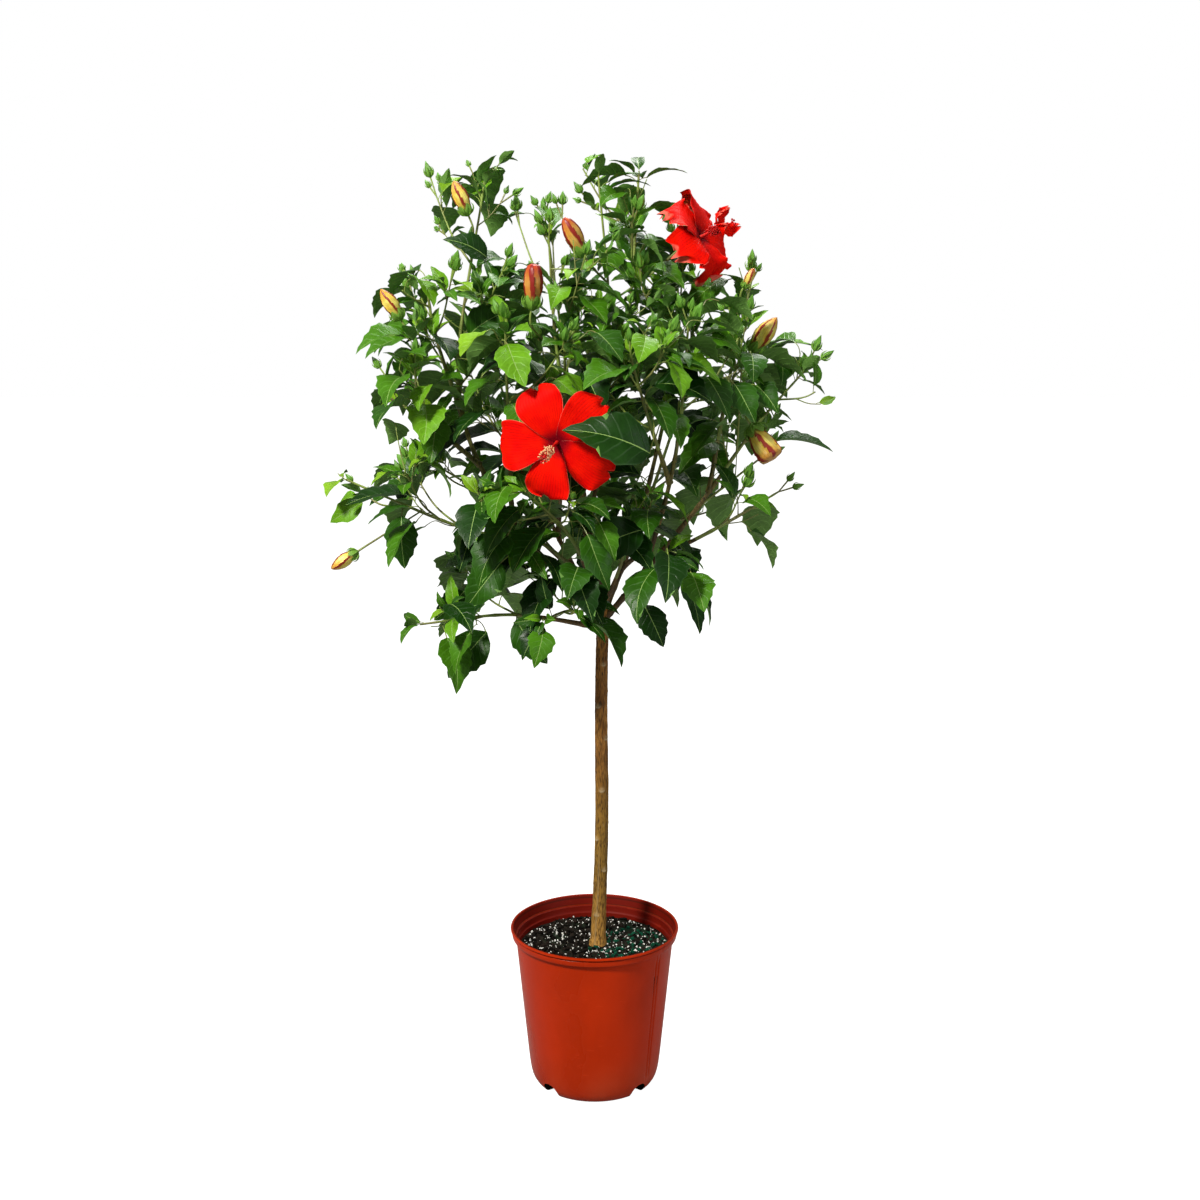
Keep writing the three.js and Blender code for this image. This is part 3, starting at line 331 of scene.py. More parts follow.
class Curve:
    """A smooth curve through points. Each piece is a cubic whose slope at a point is half the
    chord from the point before it to the point after it."""

    def __init__(self, points):
        knots = np.array(points, float)
        before = 2 * knots[0] - knots[1]
        after = 2 * knots[-1] - knots[-2]
        self.knots = np.vstack([before, knots, after])
        self.pieces = len(knots) - 1
        steps = np.diff(self.at(np.linspace(0, 1, 201)), axis=0)
        self.length = np.linalg.norm(steps, axis=1).sum()

    def at(self, shares):
        place = np.asarray(shares, float) * self.pieces
        piece = np.minimum(place.astype(int), self.pieces - 1)
        t = (place - piece)[..., None]
        a, b, c, d = (self.knots[piece + k] for k in range(4))
        leaving = 0.5 * (c - a)
        arriving = 0.5 * (d - b)
        square = -3 * b + 3 * c - 2 * leaving - arriving
        cube = 2 * b - 2 * c + leaving + arriving
        return b + t * (leaving + t * (square + t * cube))

    def heading(self, shares):
        shares = np.asarray(shares, float)
        ahead = self.at(np.minimum(shares + 1e-4, 1))
        return unit(ahead - self.at(np.maximum(shares - 1e-4, 0)))


def direction_round(heading, angle):
    """The unit direction at an angle round a heading, square to it."""
    level = np.array([1.0, 0.0, 0.0]) if abs(heading[2]) > 0.98 else UP
    side = unit(np.cross(heading, level))
    return side * math.cos(angle) + np.cross(side, heading) * math.sin(angle)


def balls_along(curve, radius_at, start, end, extra):
    """Balls along a curve, as centres and radii."""
    count = max(2, math.ceil(curve.length * (end - start) / BALL_STEP))
    shares = start + (end - start) * np.arange(count + 1) / count
    return curve.at(shares), radius_at(shares) + extra


def steady(radius):
    """A radius that stays the same along a curve."""
    return lambda shares: np.full(np.shape(shares), float(radius))


def all_balls(*parts):
    """The balls of all parts together."""
    return np.vstack([centres for centres, _ in parts]), np.concatenate([radii for _, radii in parts])


class Grown:
    """Balls over all that has grown so far, so that new growth can keep clear of it."""

    def __init__(self):
        self.centres = np.zeros((MOST_BALLS, 3))
        self.radii = np.zeros(MOST_BALLS)
        self.owners = np.zeros(MOST_BALLS, int)
        self.count = 0
        self.names = {}

    def keep(self, balls, owner):
        centres, radii = balls
        new = slice(self.count, self.count + len(radii))
        self.centres[new] = centres
        self.radii[new] = radii
        self.owners[new] = self.names.setdefault(owner, len(self.names))
        self.count += len(radii)

    def is_clear(self, balls, owner, foot, reach, clear=CLEAR):
        """True if the balls lie in the crown and none comes near a ball of what has grown.
        Growth with the same owner may touch within reach of its own foot."""
        centres, radii = balls
        if (centres <= CROWN_LOW).any() or (centres >= CROWN_HIGH).any():
            return False
        margin = radii.max() + 20
        others = self.centres[: self.count]
        inside = (others > centres.min(0) - margin) & (others < centres.max(0) + margin)
        near = np.flatnonzero(inside.all(1))
        if not len(near):
            return True
        apart = np.linalg.norm(centres[:, None] - others[near][None], axis=2)
        touching = apart <= radii[:, None] + self.radii[near][None] + clear
        own = self.owners[near] == self.names.get(owner, -1)
        at_root = np.linalg.norm(centres - foot, axis=1) < reach
        return not (touching & ~(own[None] & at_root[:, None])).any()


grown = Grown()
displays = Grown()


def blade_at(foot, neck, tip, facing, width):
    """A blade between its neck and its tip, on a petiole from its foot. Its face points along
    its normal."""
    way = tip - neck
    length = np.linalg.norm(way)
    way = way / length
    normal = unit(facing - facing.dot(way) * way)
    waist = neck + way * (LEAF_WIDEST * length) + normal * (LEAF_ARCH * length)
    return {
        "foot": foot, "neck": neck, "waist": waist, "tip": tip, "way": way,
        "side": np.cross(way, normal), "normal": normal, "length": length, "width": width,
    }


def leaf_at(foot, heading, angle, length, droop, keys, attempt):
    """A leaf that grows from a foot on a twig, turned round it by an angle."""
    jitter = [chance(*keys, attempt, purpose) * 2 - 1 for purpose in range(7)]
    away = direction_round(heading, angle + TURN_SPREAD * jitter[1])
    lift = math.radians(LEAF_LIFT + LIFT_SPREAD * jitter[2])
    stalk = heading * math.cos(lift) + away * math.sin(lift)
    blade = unit(np.array([stalk[0], stalk[1], stalk[2] * 0.5 - droop * (1 + 0.5 * jitter[3])]))
    level = np.cross(blade, UP)
    if np.linalg.norm(level) < 0.2:
        level = np.cross(blade, away)
    level = unit(level)
    roll = ROLL_SPREAD * jitter[4]
    facing = np.cross(level, blade) * math.cos(roll) + level * math.sin(roll)
    full = length * (1 + LENGTH_SPREAD * jitter[5])
    neck = foot + stalk * (PETIOLE * full)
    width = LEAF_WIDTH * full * (1 + WIDTH_SPREAD * jitter[6])
    return blade_at(foot, neck, neck + blade * full, facing, width)


def leaf_balls(leaf, ball=LEAF_BALL):
    """Balls over a leaf's blade and petiole."""
    petiole = Curve([leaf["foot"], leaf["neck"]])
    rows = math.ceil(leaf["length"] / LEAF_BALL_STEP)
    centres = []
    for share in np.arange(rows + 1) / rows:
        low = share < LEAF_WIDEST
        part = share / LEAF_WIDEST if low else (share - LEAF_WIDEST) / (1 - LEAF_WIDEST)
        start, end = (leaf["neck"], leaf["waist"]) if low else (leaf["waist"], leaf["tip"])
        opened = 0.35 + 0.65 * part if low else 1 - part
        across = math.ceil(opened * leaf["width"] / LEAF_BALL_WIDTH)
        sideways = opened * np.arange(-across, across + 1)[:, None] / max(across, 1)
        row = start + (end - start) * part + leaf["side"] * (0.85 * sideways * leaf["width"] / 2)
        centres.append(row + leaf["normal"] * (abs(sideways) * LEAF_FOLD * leaf["length"]))
    blade = np.vstack(centres)
    return all_balls(
        balls_along(petiole, steady(STALK_RADIUS), 0.3, 0.85, 0.3), (blade, np.full(len(blade), ball))
    )


def bud_at(foot, heading, keys):
    """A green bud on its stalk, which leaves a twig near its end."""
    lean = direction_round(heading, chance(*keys, 1) * 2 * math.pi)
    way = unit(heading + lean * (0.3 + 0.4 * chance(*keys, 2)) + UP * 0.35)
    size = 0.8 + 0.4 * chance(*keys, 3)
    start = foot + way * (GREEN_BUD_STALK * (0.5 + 0.8 * chance(*keys, 4)))
    tip = start + way * (GREEN_BUD_LENGTH * size)
    return {"foot": foot, "start": start, "tip": tip, "width": GREEN_BUD_WIDTH * size}


def bud_balls(bud):
    """Balls over a bud and its stalk."""
    stalk = Curve([bud["foot"], bud["start"]])
    body = Curve([bud["start"], bud["tip"]])
    return all_balls(
        balls_along(stalk, steady(STALK_RADIUS), 0.3, 1, 0),
        balls_along(body, steady(bud["width"] / 2), 0, 1, 0),
    )


def limb_of(plan, index, limbs):
    """A limb's curve and radius, from its parent outwards."""
    parent = limbs[plan["from"]]
    leader = plan["at"] == 1
    foot = parent["curve"].at(plan["at"] * parent["bare"]) + UP * (GAP if leader else 0)
    start = BOUGH_FOOT_RADIUS if plan["from"] == "trunk" else SIDE_BOUGH_FOOT_RADIUS
    if leader:
        start = parent["radius_at"](1)
    radii = [[0, start], [plan["bare"], BOUGH_TIP_RADIUS], [1, STEM_TIP_RADIUS]]
    return {
        **plan, "index": index, "curve": Curve([foot, *plan["pass"]]),
        "radius_at": lambda shares: value_at(radii, shares), "leaves": [], "buds": [], "fine": [],
    }


trunk = {
    "name": "trunk", "curve": Curve(TRUNK_PASSES), "bare": 1,
    "radius_at": lambda shares: value_at(TRUNK_RADII, shares),
}
limbs = {"trunk": trunk}
for index, plan in enumerate(LIMBS):
    limbs[plan["name"]] = limb_of(plan, index, limbs)
growing = [limbs[plan["name"]] for plan in LIMBS]


def stem_point(plan):
    """Where a stalk leaves its limb's stem, at a share of the stem."""
    limb = limbs[plan["on"]]
    return limb["curve"].at(limb["bare"] + (1 - limb["bare"]) * plan["at"])


def bloom_of(plan):
    """A bloom's stalk, throat and frame."""
    foot = stem_point(plan)
    faces = unit(np.array(plan["faces"]))
    throat = np.array(plan["throat"], float)
    back = throat - faces * CUP_LENGTH
    stalk = Curve([foot, foot + (back - foot) * 0.55 - UP * 4, back])
    side = -unit(np.cross(faces, UP))
    over = -np.cross(side, faces)
    frames = []
    for k in range(PETAL_COUNT):
        angle = math.radians(plan["turn"]) + k * 2 * math.pi / PETAL_COUNT
        out = side * math.cos(angle) + over * math.sin(angle)
        frames.append((out, np.cross(faces, out)))
    return {**plan, "faces": faces, "throat": throat, "back": back, "stalk": stalk, "petals": frames}


def petal_out(share):
    """How far a petal's middle line lies from the bloom's axis: length·(0.06 + 0.9·sin(1.45·share))."""
    return PETAL_LENGTH * (0.06 + 0.9 * np.sin(share * 1.45))


def petal_forward(share):
    """How far a petal's middle line lies before the throat: length·(0.34·share - 0.42·share^2)."""
    return PETAL_LENGTH * (0.34 * share - 0.42 * share * share)


def petal_half(share, blunt=0.7):
    """Half of a petal's width: width/2·sin(pi·share^1.35)^blunt."""
    return (PETAL_WIDTH / 2) * np.power(np.sin(np.pi * np.power(share, 1.35)), blunt)


def bloom_balls(bloom):
    """Balls over a bloom's stalk, column and petals."""
    column = Curve([bloom["back"], bloom["throat"] + bloom["faces"] * COLUMN_LENGTH])
    parts = [
        balls_along(bloom["stalk"], steady(BLOOM_STALK_RADIUS), 0.05, 1, 0.4),
        balls_along(column, steady(PETAL_BALL), 0, 1, 0),
    ]
    # The last share falls just short of 1, as ten steps of 0.1 add up.
    share = np.cumsum(np.full(10, 0.1))[:, None, None]
    part = np.array([-0.8, -0.4, 0, 0.4, 0.8])[None, :, None]
    for out, across in bloom["petals"]:
        centres = bloom["throat"] + out * petal_out(share) + bloom["faces"] * petal_forward(share)
        centres = (centres + across * (part * petal_half(share))).reshape(-1, 3)
        parts.append((centres, np.full(len(centres), PETAL_BALL)))
    return all_balls(*parts)


def large_bud_of(plan):
    """A large bud and its bent stalk."""
    foot = stem_point(plan)
    start = np.array(plan["foot"], float)
    tip = np.array(plan["tip"], float)
    way = tip - start
    bend = start - way * 0.35
    stalk = Curve([foot, foot + (bend - foot) * 0.5, bend, start + way * 0.15])
    width = np.linalg.norm(way) * LARGE_BUD_WIDTH * plan["wide"]
    return {**plan, "start": start, "tip": tip, "stalk": stalk, "width": width}


def grow_twigs(limb):
    """The side twigs of a mass: they leave its stem by turns, rise, and stay clear of the rest."""
    twigs = []
    curve = limb["curve"]
    stem_length = curve.length * (1 - limb["bare"])
    for k in range(limb["twigs"]):
        for attempt in range(TRIES):
            draw = [chance(limb["index"], k, attempt, purpose, 77) for purpose in range(4)]
            share = 0.1 + 0.72 * (k + 0.6 * draw[1]) / limb["twigs"]
            along = limb["bare"] + (1 - limb["bare"]) * share
            foot = curve.at(along)
            heading = curve.heading(along)
            away = direction_round(heading, k * GOLDEN_TURN + attempt * 0.9 + draw[2])
            way = unit(heading * 0.7 + away * 0.85)
            wanted = (TWIG_REACH + 0.25 * draw[3]) * stem_length * (1.2 - 0.45 * share)
            length = min(max(wanted, SHORTEST_TWIG), LONGEST_TWIG)
            end = foot + way * (length * 0.92) + UP * (length * TWIG_RISE)
            twig = Curve([foot, foot + way * (length * 0.5), end])
            balls = balls_along(twig, steady(TWIG_BALL), 0, 1, 0)
            if not grown.is_clear(balls, limb["name"], foot, TWIG_ROOT_REACH):
                continue
            grown.keep(balls, limb["name"])
            twigs.append({"curve": twig, "length": length, "index": k})
            break
    return twigs


def runs_of(limb):
    """The runs of a mass that carry leaves: its stem, and each of its twigs, with the shares of
    their curves where leaves leave them."""
    stem = {
        "curve": limb["curve"], "from": limb["bare"], "key": STEM_KEY, "full": STEM_LEAF,
        "length": limb["curve"].length * (1 - limb["bare"]),
    }
    twigs = [
        {
            "curve": twig["curve"], "from": TWIG_BARE, "key": twig["index"], "full": TWIG_LEAF,
            "length": twig["length"] * (1 - TWIG_BARE),
        }
        for twig in limb["grown_twigs"]
    ]
    for run in [stem, *twigs]:
        count = int(run["length"] // LEAF_SPACING)
        shares = [(i + 0.5) / (count + 0.2) for i in range(count)] + [END_NODE]
        run["nodes"] = [(share, run["from"] + (1 - run["from"]) * share) for share in shares]
    return [stem, *twigs]


def grow_if_clear(limb, balls, foot, reach, growth, into):
    """Adds growth to a list of its mass if it keeps clear of the rest."""
    if not grown.is_clear(balls, limb["name"], foot, reach):
        return False
    grown.keep(balls, limb["name"])
    limb[into].append(growth)
    return True


def grow_shown_leaves():
    """The leaves that stand out, each on the nearest run of any mass."""
    feet = []
    for limb in growing:
        for run in limb["runs"]:
            feet.extend((run["curve"].at(along), limb) for _, along in run["nodes"])
    places = np.array([foot for foot, _ in feet])
    for number, (neck, tip, up) in enumerate(SHOWN_LEAVES):
        neck, tip = np.array([neck, tip], float)
        foot, limb = feet[np.argmin(np.linalg.norm(places - neck, axis=1))]
        facing = unit(np.array([0, up - 1, up + 0.1]))
        leaf = blade_at(foot, neck, tip, facing, LEAF_WIDTH * np.linalg.norm(tip - neck))
        leaf["dark"] = number == DARK_LEAF
        grow_if_clear(limb, leaf_balls(leaf), foot, LEAF_ROOT_REACH, leaf, "leaves")


def grow_bud(limb, run):
    """A bud at the end of some runs of a mass."""
    if chance(limb["index"], run["key"], 300) > BUD_CHANCE:
        return
    end = run["curve"].at(BUD_SHARE)
    bud = bud_at(end, run["curve"].heading(BUD_SHARE), [limb["index"], run["key"], 200])
    grow_if_clear(limb, bud_balls(bud), end, TWIG_ROOT_REACH, bud, "buds")


def grow_leaves(limb, run):
    """Leaves in turns along one run of a mass, with a small one at its end."""
    last = len(run["nodes"]) - 1
    for number, (share, along) in enumerate(run["nodes"]):
        size = run["full"] - LEAF_TAPER * share * share
        if number == last:
            size = TIP_LEAF_LENGTH / LEAF_LENGTH
        droop = 1.1 * size * limb["leaf"] - 0.35
        foot = run["curve"].at(along)
        heading = run["curve"].heading(along)
        keys = [limb["index"], run["key"], number]
        for attempt in range(TRIES):
            turned = number * GOLDEN_TURN + run["key"] + attempt * RETRY_TURN
            length = LEAF_LENGTH * limb["leaf"] * size
            leaf = leaf_at(foot, heading, turned, length, droop, keys, attempt)
            if grow_if_clear(limb, leaf_balls(leaf), foot, LEAF_ROOT_REACH, leaf, "leaves"):
                break


def seen_at(point):
    """Where a point stands in the plane of the trunk, as x and z, seen from the front."""
    scale = VIEW_DISTANCE / (VIEW_DISTANCE + point[1])
    return (VIEW_SIDE + (point[0] - VIEW_SIDE) * scale, VIEW_HEIGHT + (point[2] - VIEW_HEIGHT) * scale)


def is_open(point):
    """True where the crown is open, so that the sky shows through it from the front."""
    return any(math.dist(seen_at(point), (x, z)) < radius for x, z, radius in OPENINGS)


def in_opening(leaf):
    """True for a leaf whose middle or outer part would close an opening."""
    return is_open(leaf["waist"]) or is_open(0.3 * leaf["waist"] + 0.7 * leaf["tip"])


def hides_nothing(points, clear):
    """True for growth through the points that hides no large bud and not the side bloom from the
    front."""
    shown = [(0.5 * (bud["start"] + bud["tip"]), SHOWN_BUD) for bud in large_buds]
    shown.append((blooms[1]["throat"], SHOWN_BLOOM))
    return not any(
        point[1] < centre[1] and math.dist(seen_at(point), seen_at(centre)) < radius + clear
        for point in points for centre, radius in shown
    )


def is_kept(leaf):
    """True for a leaf that closes no opening and hides nothing."""
    if in_opening(leaf) or is_open(leaf["foot"]):
        return False
    middle = 0.4 * leaf["waist"] + 0.6 * leaf["tip"]
    points = (leaf["neck"], leaf["waist"], middle, leaf["tip"])
    return hides_nothing(points, LEAF_HIDES * leaf["width"])


def is_bud_kept(bud):
    """True for a green bud that closes no opening and hides nothing."""
    return not is_open(bud["foot"]) and hides_nothing((bud["start"], bud["tip"]), 0)


def fits(balls, limb, foot, reach, clear):
    """True if fine growth has room. It may touch its own mass within reach of its foot, but
    never a bloom or a large bud."""
    if not displays.is_clear(balls, "fine", foot, 0, DISPLAY_CLEAR):
        return False
    return grown.is_clear(balls, limb["name"], foot, reach, clear)


def grow_fine_twigs(limb, run):
    """Short fine twigs between the leaves of a run. Some carry small leaves, and the others are
    shoots that end in young leaves. One on which nothing has room isn't kept."""
    ends = [share for share, _ in run["nodes"]]
    middles = [0.5 * (a + b) for a, b in zip([0.04] + ends, ends)]
    for number, share in enumerate(middles + [0.98]):
        along = run["from"] + (1 - run["from"]) * share
        foot = run["curve"].at(along)
        heading = run["curve"].heading(along)
        if chance(limb["index"], run["key"], number, 410) > FINE_CHANCE or is_open(foot):
            continue
        for attempt in range(FINE_TRIES):
            keys = [limb["index"], run["key"], number, attempt]
            turned = number * GOLDEN_TURN + 1.9 + run["key"] + attempt * RETRY_TURN
            away = direction_round(heading, turned + 0.6 * chance(*keys, 401))
            way = unit(heading * 0.75 + away * (0.5 + 0.5 * chance(*keys, 402)) + UP * 0.25)
            length = FINE_LENGTH + FINE_SPREAD * chance(*keys, 403)
            end = foot + way * length + UP * (0.15 * length)
            twig = Curve([foot, foot + way * (0.5 * length), end])
            balls = balls_along(twig, steady(FINE_BALL), 0, 1, 0)
            if is_open(end) or not fits(balls, limb, foot, TWIG_ROOT_REACH, FINE_CLEAR):
                continue
            grown.keep(balls, limb["name"])
            before = len(limb["leaves"]) + len(limb["buds"])
            shoot = chance(*keys, 404) < SHOOT_CHANCE and end[2] > BUDS_FROM
            grow_small_leaves(limb, twig, keys, [0.5] if shoot else [0.45, 0.98])
            if shoot:
                grow_young_leaves(limb, twig, 0.85, keys)
            if len(limb["leaves"]) + len(limb["buds"]) > before:
                limb["fine"].append(twig)
                break


def grow_small_leaves(limb, twig, keys, places):
    """Small leaves in turns along a fine twig, the smallest at its end."""
    for number, share in enumerate(places):
        foot = twig.at(share)
        heading = twig.heading(share)
        size = (1 - 0.2 * number) * limb["leaf"]
        for attempt in range(FINE_TRIES):
            turned = number * GOLDEN_TURN + 2.1 + attempt * RETRY_TURN
            own_keys = [*keys, number]
            leaf = leaf_at(foot, heading, turned, FINE_LEAF * size, 0.75 * size, own_keys, attempt)
            balls = leaf_balls(leaf, FINE_BALL)
            if in_opening(leaf) or not fits(balls, limb, foot, LEAF_ROOT_REACH, FINE_CLEAR):
                continue
            grown.keep(balls, limb["name"])
            limb["leaves"].append(leaf)
            break


def grow_young_leaves(limb, curve, scale, keys):
    """Narrow young leaves by turns round the end of a shoot, the smallest innermost, with buds
    between them in the upper crown."""
    reach = min(YOUNG_REACH / curve.length, 0.5)
    for number in range(YOUNG_LEAVES):
        part = number / (YOUNG_LEAVES - 1)
        share = 1 - reach * (1 - part)
        foot = curve.at(share)
        heading = curve.heading(share)
        draw = [chance(*keys, number, purpose) for purpose in (501, 502, 503, 504)]
        away = direction_round(heading, number * GOLDEN_TURN + 1.3 + 0.8 * draw[0])
        lift = math.radians(YOUNG_LIFT - YOUNG_LIFT_FALL * part + YOUNG_LIFT_SPREAD * (draw[1] - 0.5))
        stalk = heading * math.cos(lift) + away * math.sin(lift)
        length = scale * YOUNG_LEAF * (1.15 - YOUNG_TAPER * part) * (0.85 + 0.3 * draw[2])
        way = unit(stalk + away * 0.15 - UP * (0.3 * draw[3]))
        neck = foot + stalk * (YOUNG_PETIOLE * length)
        leaf = blade_at(foot, neck, neck + way * length, heading + UP * 0.3, YOUNG_WIDTH * length)
        balls = leaf_balls(leaf, YOUNG_BALL)
        if not in_opening(leaf) and fits(balls, limb, foot, YOUNG_ROOT_REACH, 0):
            limb["leaves"].append(leaf)
    end = curve.at(1)
    if end[2] < BUDS_FROM or is_open(end):
        return
    for number in range(int(3.4 * chance(*keys, 510))):
        heading = curve.heading(1)
        lean = direction_round(heading, number * GOLDEN_TURN + 2.4)
        way = unit(heading + lean * (0.2 + 0.35 * number) + UP * 0.3)
        size = scale * (0.6 + 0.5 * chance(*keys, number, 511))
        start = end + way * (size * YOUNG_STALK)
        bud = {"foot": end - heading, "start": start, "tip": start + way * (size * GREEN_BUD_LENGTH)}
        bud["width"] = size * GREEN_BUD_WIDTH * 0.86
        if fits(bud_balls(bud), limb, end, YOUNG_ROOT_REACH, 0):
            limb["buds"].append(bud)


def grow_crown():
    """Grows the whole crown in the order of the solids: bare limbs, blooms, large buds, twigs,
    leaves that stand out, then the buds and leaves of each mass, and last the fine twigs."""
    grown.keep(balls_along(trunk["curve"], trunk["radius_at"], 0.6, 1, 1), "trunk")
    for limb in growing:
        curve, radius_at, bare = limb["curve"], limb["radius_at"], limb["bare"]
        grown.keep(balls_along(curve, radius_at, 0, bare, 1), "bough " + limb["name"])
        grown.keep(balls_along(curve, radius_at, bare + 0.02, 1, 1), limb["name"])
    for bloom in blooms:
        grown.keep(bloom_balls(bloom), bloom["on"])
        displays.keep(bloom_balls(bloom), "bloom")
    for bud in large_buds:
        body = Curve([bud["start"], bud["tip"]])
        balls = balls_along(body, steady(bud["width"] / 2), 0, 1, 0)
        grown.keep(balls_along(bud["stalk"], steady(TWIG_BALL), 0.05, 1, 0), bud["on"])
        grown.keep(balls, bud["on"])
        displays.keep(balls, "bud")
    for limb in growing:
        limb["grown_twigs"] = grow_twigs(limb)
        limb["runs"] = runs_of(limb)
    grow_shown_leaves()
    for limb in growing:
        for run in limb["runs"]:
            grow_bud(limb, run)
        for run in limb["runs"]:
            grow_leaves(limb, run)
    for limb in growing:
        for run in limb["runs"]:
            grow_young_leaves(limb, run["curve"], 1, [limb["index"], run["key"]])
            grow_fine_twigs(limb, run)
        limb["leaves"] = [leaf for leaf in limb["leaves"] if is_kept(leaf)]
        limb["buds"] = [bud for bud in limb["buds"] if is_bud_kept(bud)]


blooms = [bloom_of(plan) for plan in BLOOMS]
large_buds = [large_bud_of(plan) for plan in LARGE_BUDS]
grow_crown()

# Fineness of the surfaces: rings and corners of each shape, and rows of the pot's profile that lie
# outside, inside and in a drain
TRUNK_GRID = (420, 48)
BOUGH_GRID = (40, 16)
STEM_GRID = (30, 8)
TWIG_GRID = (14, 6)
FINE_GRID = (6, 5)
PETIOLE_GRID = (6, 5)
LEAF_ROWS = 12
SMALL_LEAF_ROWS = 8
SMALL_LEAF = 55
PETAL_GRID = (30, 48)
LARGE_BUD_GRID = (30, 50)
GREEN_BUD_GRID = (9, 10)
POT_SIDES = 160
SOIL_GRID = (70, 220)
OUTSIDE_ROWS = 37
INSIDE_FROM = 50
DRAIN_ROWS = slice(2, 5)
DRAIN_TOP_ROW = 11

# Sizes of details on the pot, the soil and the trunk
DRAIN_RECESS = 18
GROOVE_ANGLE = math.radians(-37)
GROOVE_DEPTH = 1.5
GROOVE_APART = 3.6
GROOVE_WIDTH = 1.5
SOIL_RADIUS = WALL_TOP_RADIUS - WALL - 2.6
SOIL_LUMPS = 1.1
CRUMB_COUNT = 1100
CRUMB_SIZES = (1.6, 8.0)
MOSS_MIDDLE = [50, -5]
MOSS_RADIUS = 64
PERLITE_COUNT = 700
PERLITE_SIZES = (1.3, 3.8)
CREASE_ANGLE = 2.7
CREASE_LENGTH = 170
CREASE_WIDTH = 0.9
CREASE_DEPTH = 1.1
SCARS_FROM = 26
SCARS_END = 20
SCAR_STEP = 23
SCAR_WIDTH = 4.2
SCAR_THICKNESS = 1.1
SCAR_BEND = 0.09
SCAR_HEIGHT = 0.75
PORE_RISE = 0.35

# Sizes of details on the limbs, the buds and the blooms
BOUGH_NODE_STEP = 34
BOUGH_COLLAR = 0.55
COLLAR_REACH = 9
NODE_SWELL = 0.2
NODE_REACH = 5
LIMB_RELIEF = 0.03
TOUCHING = 4
BUD_STALK_RADII = (1.1, 1.3)
LARGE_STALK_RADII = (1.2, 1.6)
BLOOM_STALK_RADII = (1.5, 2.4)
GREEN_SWELL = [[0, 0.3], [0.12, 0.8], [0.35, 1], [0.6, 0.86], [0.85, 0.42], [1, 0.06]]
OPEN_SWELL = [[0, 0.35], [0.2, 0.68], [0.5, 0.95], [0.75, 1.05], [0.9, 1.08], [0.97, 0.95], [1, 0.5]]
LARGE_SWELL = [[0, 0.35], [0.2, 0.75], [0.42, 1], [0.62, 0.97], [0.8, 0.72], [0.93, 0.38], [1, 0.05]]
CUP_SIDES = 40
CUP_LOBES = 5
CUP_DEPTH = 0.45
CUP_RADIUS = 9.5
CUP_BRACT_REACH = 17.0
CUP_BRACT_SPREAD = 8.0
CUP_WALL = 0.7
BRACTS = 7
BRACT_RADII = [0.05, 0.075, 0.07, 0.045, 0.006]
GREEN_BRACTS = 0.62
LARGE_CUP = (0.36, 0.46)
LARGE_BRACTS = (0.34, 0.5)
PETAL_FULL = 1.16
PETAL_CLAW = 3.8
PETAL_RUFFLE = 6.0
PETAL_FRILL = 2.2
PETAL_END = 3.2
PETAL_PLEATS = 0.35
PETAL_CUPPING = 0.0022
PETAL_TILT = 0.13
PETAL_THICKNESS = 0.4
TUFT_SCALE = 0.34
TUFT_LOBES = 4
TUFT_FROM = 12
COLUMN_RADII = [[0, 3.0], [0.15, 2.0], [0.5, 1.7], [0.9, 1.4], [1, 0.9]]
COLUMN_SIDES = 12
ANTHERS = 90
ANTHER_REACH = 4.5
ANTHER_SPREAD = 3.5
STIGMA_PADS = 5
STIGMA_REACH = 6

# Heights and sides that split the crown's leaves into pieces, in millimetres
TOP_FROM = 1090
LOW_UNTIL = 880
LEFT_UNTIL = -60

# Stage
FLOOR_REACH = 12
AMBIENT = 0.42

# Shape of a drawn leaf, as shares of its half width or length
LEAF_DRAWN = 0.9
LEAF_PEAK = 0.274
LEAF_RIM = 0.25
LEAF_TOOTH = 0.085
LEAF_TOOTH_REACH = 0.02
LEAF_SLOPE = 0.3
LEAF_BULGE = 0.09
LEAF_WAVE = 0.1
LEAF_CURL = 0.13
LEAF_SWERVE = 0.05
LEAF_TWIST = 0.5

# A leaf's brightness: at least, and for its height, its distance from the middle, how small it is
# and chance. The parts for height and distance from the middle are painted light and shade: leaves
# high and outside in the crown lit, those low and inside shaded. Its tint steps from dark to deep,
# middle, bright and young.
LEAF_BRIGHTNESS = 0.17
PAINTED_LIGHT_HIGH = 0.3
PAINTED_LIGHT_OUTSIDE = 0.4
BRIGHT_SMALL = 0.6
BRIGHT_SPREAD = 0.4
TINT_STEPS = [0.46, 0.74, 1.02, 1.26]


